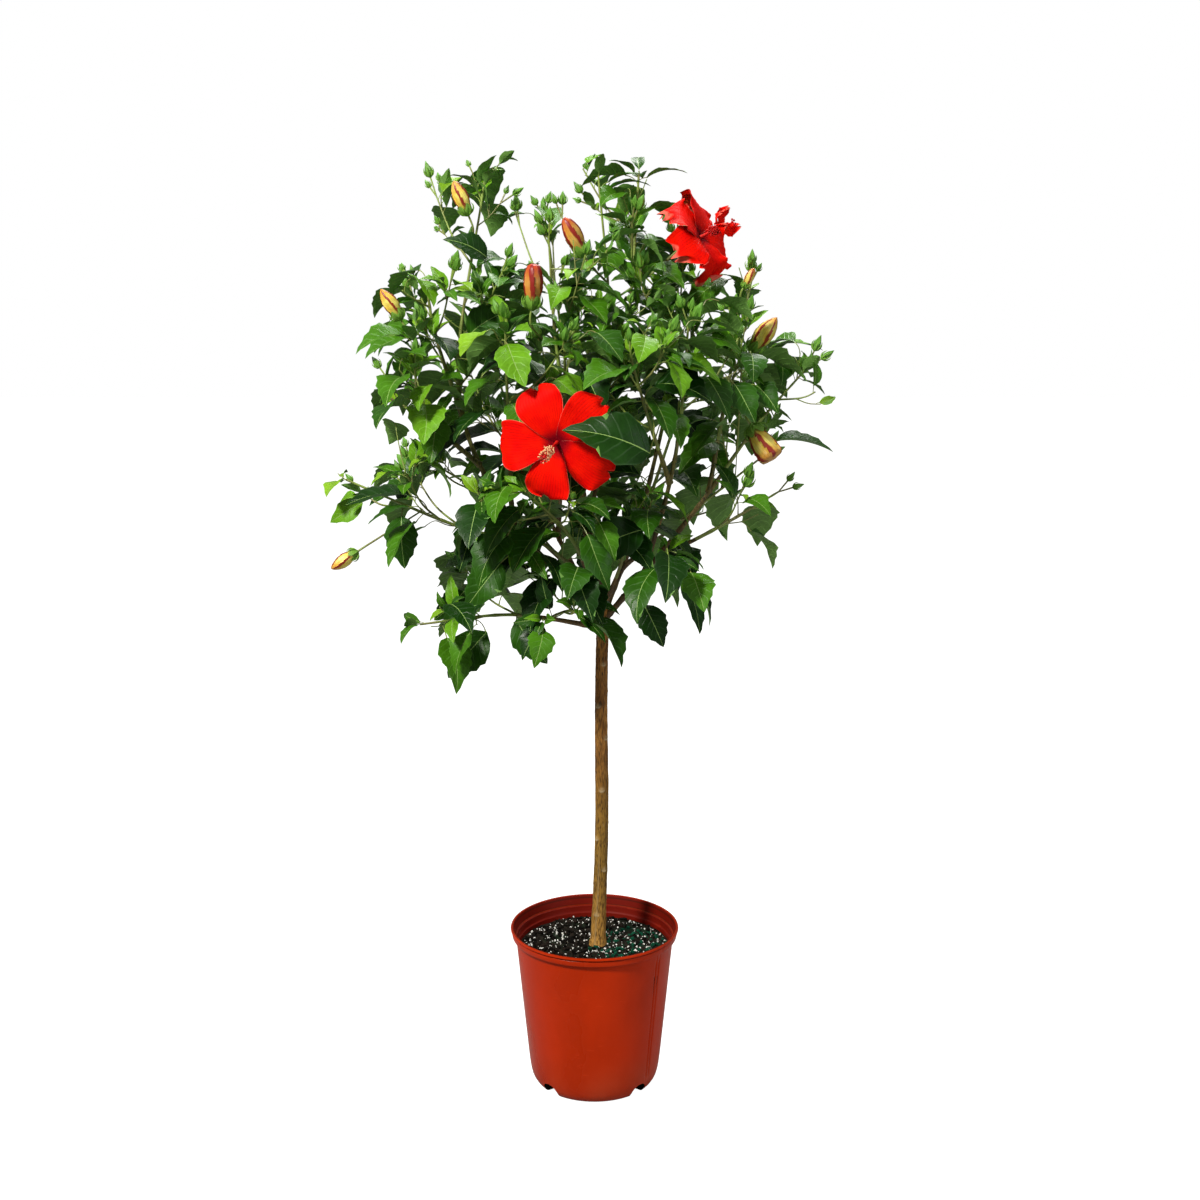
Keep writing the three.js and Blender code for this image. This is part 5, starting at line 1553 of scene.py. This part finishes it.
def build_veins(nodes, inputs):
    """Side veins that leave the midrib forwards and fade towards the edge."""
    across, along, _ = nodes.place()
    out = nodes.math("ABSOLUTE", across)
    lines = nodes.math("SUBTRACT", nodes.times(along, inputs["Count"]), nodes.times(out, 1.5))
    wave = nodes.math("ABSOLUTE", nodes.math("SUBTRACT", nodes.math("FRACT", lines), 0.5))
    vein = nodes.ramp(wave, 0.0, 0.14, 1.0, 0.0)
    fading = nodes.ramp(out, 0.25, 1.0, 1.0, 0.25)
    return {"Veins": nodes.times(vein, fading)}


mottle = effect(
    "Mottle", {"Colour": "Color", "Scale": "Float", "Amount": "Float"},
    {"Colour": "Color", "Patches": "Float"}, build_mottle,
)
veins = effect("Side veins", {"Count": "Float"}, {"Veins": "Float"}, build_veins)


def finish_of(name, build):
    """A material. build gets its nodes and returns the inputs of its Principled shader."""
    material = bpy.data.materials.new(name)
    material.use_nodes = True
    nodes = Nodes(material.node_tree)
    shader = nodes.add("BsdfPrincipled", build(nodes))
    output = nodes.add("OutputMaterial", {})
    nodes.tree.links.new(shader.outputs[0], output.inputs[0])
    return material


def leaf_finish(name, colour, roughness, pale=0.5):
    """A leaf's glossy skin: mottled, with a paler margin and paler side veins that stand a little
    proud."""
    def build(nodes):
        mottled = nodes.use(mottle, Colour=colour, Scale=38.0, Amount=0.45)
        lines = nodes.use(veins, Count=7.0)["Veins"]
        lighter = scaled(colour, 1.7, 0.03)
        margin = nodes.ramp(nodes.math("ABSOLUTE", nodes.place()[0]), 0.9, 1.0)
        paler = nodes.times(nodes.math("MAXIMUM", lines, margin), pale)
        tint = nodes.mix(paler, mottled["Colour"], lighter)
        relief = nodes.math("ADD", nodes.times(mottled["Patches"], 0.5), lines)
        rough = nodes.ramp(mottled["Patches"], 0.0, 1.0, roughness - 0.06, roughness + 0.08)
        normal = nodes.bump(relief, 0.0004)
        return {"Base Color": tint, "Roughness": rough, "Normal": normal, "Specular IOR Level": 0.18}
    return finish_of(name, build)


def plain_finish(name, colour, roughness, scale, amount, depth=0.0003, gloss=0.3):
    """A mottled skin with a fine grain."""
    def build(nodes):
        mottled = nodes.use(mottle, Colour=colour, Scale=scale, Amount=amount)
        rough = nodes.ramp(mottled["Patches"], 0.0, 1.0, roughness - 0.08, roughness + 0.08)
        normal = nodes.bump(mottled["Patches"], depth)
        finish = {"Base Color": mottled["Colour"], "Roughness": rough, "Normal": normal}
        return {**finish, "Specular IOR Level": gloss}
    return finish_of(name, build)


def build_bark(nodes):
    """Reddish brown bark, olive lower down and golden at the foot, with a fine lengthwise grain,
    pale scars and a lighter crease."""
    crease, scars, along = nodes.place()
    grain = nodes.grain(900.0, 110.0, 6.0)
    patches = nodes.grain(60.0, 22.0, 4.0)
    brown = nodes.fade(rgb(0.24, 0.09, 0.017), rgb(0.54, 0.24, 0.052), patches, 0.35, 0.65)
    olive = nodes.fade(brown, rgb(0.3, 0.19, 0.026), along, 0.3, 0.6, 0.6, 0.0)
    golden = nodes.fade(olive, rgb(0.66, 0.34, 0.08), along, 0.0, 0.22, 0.75, 0.0)
    fibres = nodes.fade(golden, rgb(0.06, 0.028, 0.008), grain, 0.42, 0.68)
    scarred = nodes.mix(nodes.times(scars, 0.75), fibres, rgb(0.62, 0.48, 0.28))
    creased = nodes.mix(nodes.times(crease, 0.6), scarred, rgb(0.36, 0.27, 0.14))
    relief = nodes.math("ADD", nodes.times(patches, 0.4), grain)
    normal = nodes.bump(relief, 0.0007)
    return {"Base Color": creased, "Roughness": 0.62, "Normal": normal, "Specular IOR Level": 0.22}


def build_bough_bark(nodes):
    """Smoother bark, dark brown near the trunk and olive green higher up."""
    grain = nodes.grain(500.0, 160.0, 5.0)
    patches = nodes.grain(45.0, 30.0, 3.0)
    brown = nodes.fade(rgb(0.1, 0.05, 0.018), rgb(0.24, 0.14, 0.045), patches, 0.35, 0.65)
    height = nodes.height()
    greener = nodes.fade(brown, rgb(0.19, 0.22, 0.035), height, 0.8, 1.05, 0.0, 0.75)
    fibres = nodes.fade(greener, rgb(0.05, 0.036, 0.016), grain, 0.45, 0.7)
    return {"Base Color": fibres, "Roughness": 0.62, "Normal": nodes.bump(grain, 0.0005)}


def build_stem(nodes):
    """Young stems: pale yellow-green with a little brown."""
    patches = nodes.grain(30.0, 30.0, 4.0)
    grain = nodes.grain(400.0, 200.0, 3.0)
    tint = nodes.fade(rgb(0.26, 0.36, 0.07), rgb(0.2, 0.2, 0.06), patches, 0.38, 0.66)
    return {"Base Color": tint, "Roughness": 0.48, "Normal": nodes.bump(grain, 0.0003)}


def pot_finish(name, colour, roughness, wear_and_highlight):
    """Moulded plastic: a faint orange-peel skin, rubbed paler patches, painted shade as dark lines on the
    top edge and under the lip and the band, and a film of dust low down."""
    def build(nodes):
        skin = nodes.grain(700.0, 700.0, 2.0)
        broad = nodes.grain(9.0, 5.0, 5.0)
        scuffs = nodes.grain(55.0, 190.0, 6.0)
        height = nodes.height()
        dust = nodes.times(nodes.ramp(height, 0.0, 0.09, 1.0, 0.0), nodes.ramp(broad, 0.35, 0.7))
        # Painted shade: dark lines under the lip and under the band, where their shadows fall, and along
        # the top edge.
        under_lip, under_band = (
            nodes.math("ABSOLUTE", nodes.math("SUBTRACT", height, level * MM))
            for level in (POT_HEIGHT - LIP - 0.6, POT_HEIGHT - RIM_BAND + 0.6)
        )
        on_top = nodes.math("MULTIPLY_ADD", height, -1.0, (POT_HEIGHT + 0.5) * MM)
        lines = nodes.math("MINIMUM", nodes.math("MINIMUM", under_lip, under_band), on_top)
        painted_shade_lines = nodes.ramp(lines, 0.0006, 0.0016, 0.7, 0.0)
        darker = scaled(colour, 0.8)
        tint = nodes.fade(darker, colour, broad, 0.35, 0.65)
        tint = nodes.fade(tint, rgb(0.65, 0.045, 0.008), scuffs, 0.62, 0.78, 0.0, wear_and_highlight)
        tint = nodes.mix(nodes.times(dust, 0.25), tint, rgb(0.3, 0.12, 0.06))
        tint = nodes.mix(painted_shade_lines, tint, rgb(0.05, 0.006, 0.002))
        rough = nodes.ramp(broad, 0.3, 0.7, roughness - 0.05, roughness + 0.1)
        normal = nodes.bump(skin, 0.00008)
        return {"Base Color": tint, "Roughness": rough, "Normal": normal, "Specular IOR Level": 0.13}
    return finish_of(name, build)


def build_soil(nodes):
    """Dark peaty soil with greenish patches."""
    clods = nodes.grain(160.0, 160.0, 8.0)
    broad = nodes.grain(30.0, 30.0, 3.0)
    brown = nodes.fade(rgb(0.005, 0.004, 0.003), rgb(0.02, 0.014, 0.01), clods, 0.35, 0.7)
    tint = nodes.fade(brown, rgb(0.006, 0.03, 0.014), broad, 0.5, 0.75, 0.0, 0.5)
    normal = nodes.bump(clods, 0.002)
    return {"Base Color": tint, "Roughness": 0.92, "Normal": normal, "Specular IOR Level": 0.08}


def build_petal(nodes):
    """Vivid red petals: dark red at the throat, a painted pale pink highlight along the edge, with fine
    veins.
    """
    across, along, wear_and_highlight = nodes.place()
    out = nodes.math("ABSOLUTE", across)
    fan = nodes.times(across, nodes.math("SUBTRACT", 1.15, nodes.times(along, 0.3)))
    lines = nodes.math("ABSOLUTE", nodes.math("SINE", nodes.times(fan, 26.0)))
    thin = nodes.ramp(lines, 0.0, 0.35, 1.0, 0.0)
    broad = nodes.grain(40.0, 40.0, 4.0)
    red = nodes.fade(rgb(0.82, 0.001, 0.0), rgb(1.0, 0.007, 0.0), broad, 0.3, 0.7)
    veined = nodes.mix(nodes.times(thin, 0.35), red, rgb(0.5, 0.0, 0.004))
    throat = nodes.fade(veined, rgb(0.16, 0.0, 0.006), along, 0.04, 0.19, 0.95, 0.0)
    # Painted highlight: pale pink along the petal's end and its side edges, shifted by the petal's ruffle.
    tip = nodes.ramp(nodes.math("MULTIPLY_ADD", wear_and_highlight, 0.07, along), 0.965, 1.02)
    rim = nodes.math("MAXIMUM", tip, nodes.ramp(out, 0.97, 1.0))
    edged = nodes.mix(nodes.times(rim, 0.5), throat, rgb(0.95, 0.3, 0.22))
    relief = nodes.times(thin, -1.0)
    return {
        "Base Color": edged, "Roughness": 0.6, "Specular IOR Level": 0.06,
        "Normal": nodes.bump(relief, 0.0004),
    }


def build_furled(nodes):
    """Furled petals of a bud: yellow panels that redden on the redder buds, fine lengthwise
    lines, and dark red overlapping edges."""
    phase, along, red = nodes.place()
    broad = nodes.grain(55.0, 55.0, 3.0)
    panel = nodes.fade(rgb(0.88, 0.76, 0.17), rgb(0.84, 0.58, 0.07), broad, 0.4, 0.62)
    warm = nodes.fade(panel, rgb(0.5, 0.06, 0.012), red, 0.3, 1.0, 0.0, 0.7)
    top = nodes.times(nodes.ramp(along, 0.6, 1.0), nodes.math("MULTIPLY_ADD", red, 0.6, 0.35))
    tipped = nodes.mix(top, warm, rgb(0.5, 0.012, 0.008))
    lines = nodes.math("ABSOLUTE", nodes.math("SINE", nodes.times(phase, 16.0)))
    lined = nodes.fade(tipped, rgb(0.3, 0.12, 0.01), lines, 0.0, 0.4, 0.45, 0.0)
    ragged = nodes.math("ADD", phase, nodes.times(nodes.math("SUBTRACT", broad, 0.5), 0.5))
    redder = nodes.math("MULTIPLY_ADD", red, 0.2, ragged)
    edged = nodes.fade(lined, rgb(0.26, 0.005, 0.006), redder, 0.66, 0.78, 0.0, 0.97)
    foot = nodes.fade(edged, rgb(0.34, 0.46, 0.07), along, 0.1, 0.36, 0.85, 0.0)
    return {"Base Color": foot, "Roughness": 0.42, "Normal": nodes.bump(broad, 0.0005)}


# The dark, deep, middle and bright leaf finishes are partly the leaves' own tone and partly painted light
# and shade, dealt out by leaf_tints.
leaf_finishes = [
    leaf_finish("leaf_dark", rgb(0.007, 0.038, 0.002), 0.38),
    leaf_finish("leaf_deep", rgb(0.02, 0.083, 0.003), 0.38),
    leaf_finish("leaf_middle", rgb(0.05, 0.165, 0.005), 0.38),
    leaf_finish("leaf_bright", rgb(0.11, 0.28, 0.008), 0.39),
    leaf_finish("leaf_young", rgb(0.18, 0.36, 0.014), 0.42, 0.3),
    leaf_finish("leaf_underside", rgb(0.13, 0.27, 0.055), 0.55, 0.6),
    plain_finish("leaf_midrib", rgb(0.24, 0.38, 0.1), 0.5, 60.0, 0.3),
]
UNDERSIDE = 5
MIDRIB = 6
bark_finish = finish_of("trunk_bark", build_bark)
bough_finish = finish_of("bough_bark", build_bough_bark)
stem_finish = finish_of("young_stem", build_stem)
green_finish = plain_finish("bud_green", rgb(0.12, 0.3, 0.035), 0.45, 90.0, 0.5)
calyx_finish = plain_finish("calyx_green", rgb(0.16, 0.33, 0.04), 0.48, 70.0, 0.4)
outside_finish = pot_finish("pot_plastic", rgb(0.58, 0.03, 0.0005), 0.29, 0.5)
# The inside of the pot: the same plastic, its colour darkened as painted shade.
shaded_inside_finish = pot_finish("pot_inside_painted_shade", rgb(0.19, 0.007, 0.002), 0.5, 0.15)
soil_finish = finish_of("potting_soil", build_soil)
crumb_finishes = [
    plain_finish("crumb_dark", rgb(0.005, 0.004, 0.003), 0.9, 500.0, 0.9, 0.0006, 0.08),
    plain_finish("crumb_brown", rgb(0.019, 0.013, 0.01), 0.9, 500.0, 0.9, 0.0006, 0.08),
    plain_finish("crumb_mossy", rgb(0.006, 0.075, 0.04), 0.8, 500.0, 0.8, 0.0006, 0.08),
]
perlite_finish = plain_finish("perlite", rgb(0.95, 0.94, 0.9), 0.85, 700.0, 0.3, 0.0005)
petal_finish = finish_of("petal_red", build_petal)
furled_finish = finish_of("bud_furled", build_furled)
column_finish = plain_finish("column_red", rgb(0.62, 0.012, 0.008), 0.45, 120.0, 0.4)
anther_finish = plain_finish("anther_cream", rgb(0.9, 0.52, 0.26), 0.7, 600.0, 0.5, 0.0004)
stigma_finish = plain_finish("stigma_red", rgb(0.55, 0.01, 0.012), 0.7, 600.0, 0.4, 0.0004)


# The pot and the soil
pot_piece = Piece("pot_shell", "pot", ["pot"])
pot_piece.add(*pot_rings())
# The third finish, the soil's, darkens the drain recesses as painted shade.
pot_piece.make([outside_finish, shaded_inside_finish, soil_finish], 32)

bed_piece = Piece("soil_bed", "soil", ["soil"])
bed_piece.add(soil_rings())
bed_piece.make([soil_finish], 80)

crumb_piece = Piece("soil_crumbs")
crumbs, crumb_places = grain_rings(CRUMB_COUNT, 31, CRUMB_SIZES, 0.8)
mossy = np.linalg.norm(crumb_places[:, :2] - MOSS_MIDDLE, axis=1) < MOSS_RADIUS
crumb_kinds = np.where(mossy & (random.random(len(crumbs)) < 0.8), 2, random.random(len(crumbs)) < 0.3)
crumb_piece.add(crumbs, crumb_kinds[:, None, None])
crumb_piece.make(crumb_finishes, 25)

perlite_piece = Piece("perlite")
perlite_piece.add(grain_rings(PERLITE_COUNT, 47, PERLITE_SIZES, 0.9)[0])
perlite_piece.make([perlite_finish], 25)


# The trunk and its boughs
trunk_piece = Piece("trunk_bark", "bark", ["trunk"])
trunk_solid, trunk_masks = trunk_rings()
trunk_piece.add(trunk_solid, 0, trunk_masks)
trunk_piece.make([bark_finish], 70)

bough_piece = Piece("boughs_bark", "bough", ["bough_" + limb["name"] for limb in growing])
for limb in growing:
    count = max(int(limb["curve"].length * limb["bare"] // BOUGH_NODE_STEP), 1)
    bough_nodes = limb["bare"] * (np.arange(count) + 0.6) / count
    collar = 0 if limb["at"] == 1 else BOUGH_COLLAR
    bough_piece.add(limb_rings(limb, BOUGH_GRID, 0, limb["bare"], bough_nodes, collar))
bough_piece.make([bough_finish], 70)


# Stems, twigs and stalks
def end_of(curve, limb, start=0):
    """The share at which a run ends: at the last leaf, bud, twig or stalk on it."""
    s = shares(61, start + 0.05, 1)
    feet = [growth["foot"] for growth in limb["leaves"] + limb["buds"]]
    feet += [twig.at(0) for twig in limb["fine"]]
    feet += [twig["curve"].at(0) for twig in limb["grown_twigs"]]
    feet += [stem_point(plan) for plan in LARGE_BUDS + BLOOMS if plan["on"] == limb["name"]]
    apart = np.linalg.norm(curve.at(s)[:, None] - np.array(feet)[None], axis=2).min(1)
    return s[apart < TOUCHING].max(initial=s[0])


def tapered_tubes(curves, start, end, grid, lasts=None):
    """Tubes along curves, tapering from one radius to another, as far as each curve's last
    share."""
    rows, sides = grid
    lasts = lasts or [1] * len(curves)
    paths = np.array([curve.at(shares(rows, 0, last)) for curve, last in zip(curves, lasts)])
    radii = np.broadcast_to(shares(rows, start, end), paths.shape[:2])
    return tube_rings(paths, radii, sides)


stem_piece = Piece("stems_and_twigs", "bough")
twig_curves, twig_ends, fine_curves, green_buds = [], [], [], []
for limb in growing:
    own_nodes = [along for _, along in limb["runs"][0]["nodes"]]
    last = end_of(limb["curve"], limb, limb["bare"])
    stem_piece.add(limb_rings(limb, STEM_GRID, limb["bare"], last, own_nodes))
    twig_curves += [twig["curve"] for twig in limb["grown_twigs"]]
    twig_ends += [end_of(twig["curve"], limb) for twig in limb["grown_twigs"]]
    fine_curves += limb["fine"]
    green_buds += limb["buds"]
stem_piece.add(tapered_tubes(twig_curves, TWIG_FOOT_RADIUS, TWIG_TIP_RADIUS, TWIG_GRID, twig_ends))
stem_piece.add(tapered_tubes(fine_curves, FINE_RADIUS, FINE_TIP_RADIUS, FINE_GRID))
bud_stalks = [Curve([bud["foot"], bud["start"]]) for bud in green_buds]
stem_piece.add(tapered_tubes(bud_stalks, *BUD_STALK_RADII, FINE_GRID))
stem_piece.add(tapered_tubes([bud["stalk"] for bud in large_buds], *LARGE_STALK_RADII, TWIG_GRID))
stem_piece.add(tapered_tubes([bloom["stalk"] for bloom in blooms], *BLOOM_STALK_RADII, TWIG_GRID))
stem_piece.make([stem_finish], 70)


# Leaves, in pieces by the part of the crown their mass lies in
def part_of_crown(limb):
    """The part of the crown in which a limb's mass lies."""
    x, _, z = limb["curve"].at(0.85)
    if z > TOP_FROM:
        return "top_left" if x < 0 else "top_right"
    if z < LOW_UNTIL:
        return "low"
    return "left" if x < LEFT_UNTIL else "right"


all_leaves = []
for part in sorted({part_of_crown(limb) for limb in growing}):
    masses = [limb for limb in growing if part_of_crown(limb) == part]
    leaves = [leaf for limb in masses for leaf in limb["leaves"]]
    all_leaves += leaves
    leaf_piece = Piece("leaves_" + part, "leaf", ["foliage_" + limb["name"] for limb in masses])
    small = stacked(leaves, "length") < SMALL_LEAF
    for chosen, rows in ((~small, LEAF_ROWS), (small, SMALL_LEAF_ROWS)):
        group = [leaf for leaf, wanted in zip(leaves, chosen) if wanted]
        blades, blade_places = leaf_rings(group, rows)
        kinds = np.full((len(group), 1, 7), UNDERSIDE)
        kinds[:, 0, [2, 3, 5, 6]] = leaf_tints(group)[:, None]
        kinds[:, 0, 4] = MIDRIB
        leaf_piece.add(blades, kinds, blade_places)
    leaf_piece.make(leaf_finishes, 40)

petiole_piece = Piece("petioles", "leaf")
petiole_piece.add(petiole_rings(all_leaves))
petiole_piece.make([stem_finish], 70)


# Green buds: a ribbed calyx, and bracts round its foot
bud_piece = Piece("green_buds")
bud_piece.add(spindle_rings(green_buds, GREEN_BUD_GRID, GREEN_SWELL, 5, 0.14)[0])
bud_start, bud_way, bud_length, bud_width, _, _ = bud_frames(green_buds)
bracts = bract_rings(bud_start, bud_way, bud_length[:, 0] * GREEN_BRACTS, bud_width[:, 0] * GREEN_BRACTS)
bud_piece.add(bracts, 1)
bud_piece.make([green_finish, calyx_finish], 60)


# Large buds: furled petals that stand out of a green cup with bracts
furled_piece = Piece("large_buds")
furled, furled_places = spindle_rings(large_buds, LARGE_BUD_GRID, LARGE_SWELL, 5, 0.2, 0.55)
furled_places[..., 2] = stacked(LARGE_BUDS, "red")[:, None, None]
furled_piece.add(furled, 0, furled_places)
bud_start, bud_way, bud_length, bud_width, _, _ = bud_frames(large_buds)
foot = bud_start - bud_way * 2
for rings, (tall, wide) in ((cup_rings, LARGE_CUP), (bract_rings, LARGE_BRACTS)):
    furled_piece.add(rings(foot, bud_way, bud_length[:, 0] * tall, bud_width[:, 0] * wide), 1)
furled_piece.make([furled_finish, calyx_finish], 60)


# The open blooms
petal_piece = Piece("bloom_petals")
for bloom in blooms:
    for number in range(PETAL_COUNT):
        petal, petal_places = petal_rings(bloom, number, bloom["reflex"])
        petal_piece.add(bloom["throat"] + petal, 0, petal_places)
# The side bloom's column ends in a tuft of small petals.
for number in range(TUFT_LOBES):
    petal, petal_places = petal_rings(blooms[1], number, -0.3)
    middle = column_of(blooms[1])[TUFT_FROM]
    petal_piece.add(middle + TUFT_SCALE * petal, 0, petal_places * [1, 0.75, 1] + [0, 0.2, 0])
petal_piece.make([petal_finish], 60)


def add_threads(piece, paths, radius, sides, ways, knob, finish):
    """Threads along paths, each with a rounded knob of a length and a radius at its end."""
    piece.add(tube_rings(paths, np.full(paths.shape[:2], radius), sides))
    long, thick = (np.full(len(paths), size) for size in knob)
    piece.add(ball_rings(paths[:, -1], ways, long, thick), finish)


def add_column(piece, bloom):
    """A bloom's column: a tapering tube, anthers on threads by turns round it, and stigma pads that
    spread from its end."""
    heading = bloom["faces"]
    middle = column_of(bloom)
    along = shares(len(middle))
    piece.add(tube_rings(middle[None], value_at(COLUMN_RADII, along)[None], COLUMN_SIDES))
    side, over = square_frame(heading[None])
    t = np.interp((np.arange(ANTHERS) + 0.5) / ANTHERS, [0, 1], bloom["anthers"])
    out = spun(np.arange(ANTHERS) * GOLDEN_TURN, side, over)
    root = np.array([np.interp(t, along, middle[:, k]) for k in range(3)]).T
    reach = ANTHER_REACH + ANTHER_SPREAD * random.random(ANTHERS)
    ends = root + unit(out + 0.35 * heading) * reach[:, None]
    paths = np.stack([root, (root + ends) / 2 + heading * 0.6, ends], 1)
    add_threads(piece, paths, 0.28, 4, unit(out + 0.2), (2.6, 1.15), bloom["finish"])
    out = spun(turns(STIGMA_PADS), side, over)
    root = np.repeat(middle[-1:], STIGMA_PADS, 0)
    ends = root + unit(0.9 * out + heading) * STIGMA_REACH
    paths = np.stack([root - heading, (root + ends) / 2, ends], 1)
    add_threads(piece, paths, 0.45, 5, unit(out), (3.4, 1.7), 2)


column_piece = Piece("bloom_columns")
for bloom in blooms:
    add_column(column_piece, bloom)
column_piece.make([column_finish, anther_finish, stigma_finish], 60)

cup_piece = Piece("bloom_cups")
cup_way = stacked(blooms, "faces")
cup_start = stacked(blooms, "back") - cup_way * 3
cup_piece.add(cup_rings(cup_start, cup_way, np.full(2, CUP_LENGTH), np.full(2, CUP_RADIUS)))
cup_piece.add(bract_rings(cup_start, cup_way, np.full(2, CUP_BRACT_REACH), np.full(2, CUP_BRACT_SPREAD)))
cup_piece.make([calyx_finish], 60)


# The floor, the light and the camera
def build_floor(nodes):
    """White as the background where it is seen, but dim to the plant that stands on it."""
    seen = nodes.add("LightPath", {}).outputs["Is Camera Ray"]
    return {
        "Base Color": rgb(0.3, 0.3, 0.3), "Roughness": 0.9, "Specular IOR Level": 0.0,
        "Emission Color": rgb(1, 1, 1), "Emission Strength": nodes.times(seen, 1.0),
    }


floor_mesh = bpy.data.meshes.new("floor")
corners = [(FLOOR_REACH * x, FLOOR_REACH * y, 0) for x, y in ((-1, -1), (1, -1), (1, 1), (-1, 1))]
floor_mesh.from_pydata(corners, [], [(0, 1, 2, 3)])
floor_mesh.materials.append(finish_of("floor_white", build_floor))
floor = bpy.data.objects.new("floor", floor_mesh)
bpy.context.scene.collection.objects.link(floor)

world = bpy.data.worlds.new("daylight")
world.use_nodes = True
sky = Nodes(world.node_tree)
seen = sky.add("Background", {"Color": rgb(1, 1, 1), "Strength": 1.0})
upward = sky.add("SeparateXYZ", {0: sky.add("TexCoord", {}).outputs["Generated"]}).outputs[2]
glow = sky.ramp(upward, -0.1, 0.8, 0.1 * AMBIENT, AMBIENT)
lit = sky.add("Background", {"Color": rgb(1.0, 1.0, 0.9), "Strength": glow})
camera_ray = sky.add("LightPath", {}).outputs["Is Camera Ray"]
both = sky.add("MixShader", {0: camera_ray, 1: lit.outputs[0], 2: seen.outputs[0]})
sky.add("OutputWorld", {0: both.outputs[0]})
bpy.context.scene.world = world


def area_light(name, place, target, size, power, colour):
    """A round soft light at a place, turned to a target."""
    light = bpy.data.lights.new(name, "AREA")
    light.shape = "DISK"
    light.size = size
    light.energy = power
    light.color = colour
    lamp = bpy.data.objects.new(name, light)
    lamp.location = place
    way = mathutils.Vector(target) - mathutils.Vector(place)
    lamp.rotation_euler = way.to_track_quat("-Z", "Y").to_euler()
    bpy.context.scene.collection.objects.link(lamp)


area_light("key", (-1.5, -1.9, 2.9), (0, 0, 0.9), 0.5, 120, (1.0, 0.97, 0.9))
area_light("fill", (2.2, -1.6, 1.5), (0, 0, 0.7), 1.4, 14, (0.93, 0.96, 1.0))
area_light("top", (0.3, 1.4, 3.0), (0, 0, 1.0), 1.2, 60, (1.0, 1.0, 0.97))

camera_data = bpy.data.cameras.new("camera")
camera_data.lens = LENS
camera_data.sensor_width = SENSOR
camera = bpy.data.objects.new("camera", camera_data)
camera.location = (VIEW_SIDE * MM, -VIEW_DISTANCE * MM, VIEW_HEIGHT * MM)
camera.rotation_euler = (math.radians(90 - VIEW_TILT), 0, 0)
bpy.context.scene.collection.objects.link(camera)
bpy.context.scene.camera = camera
bpy.context.scene.view_settings.view_transform = "Standard"
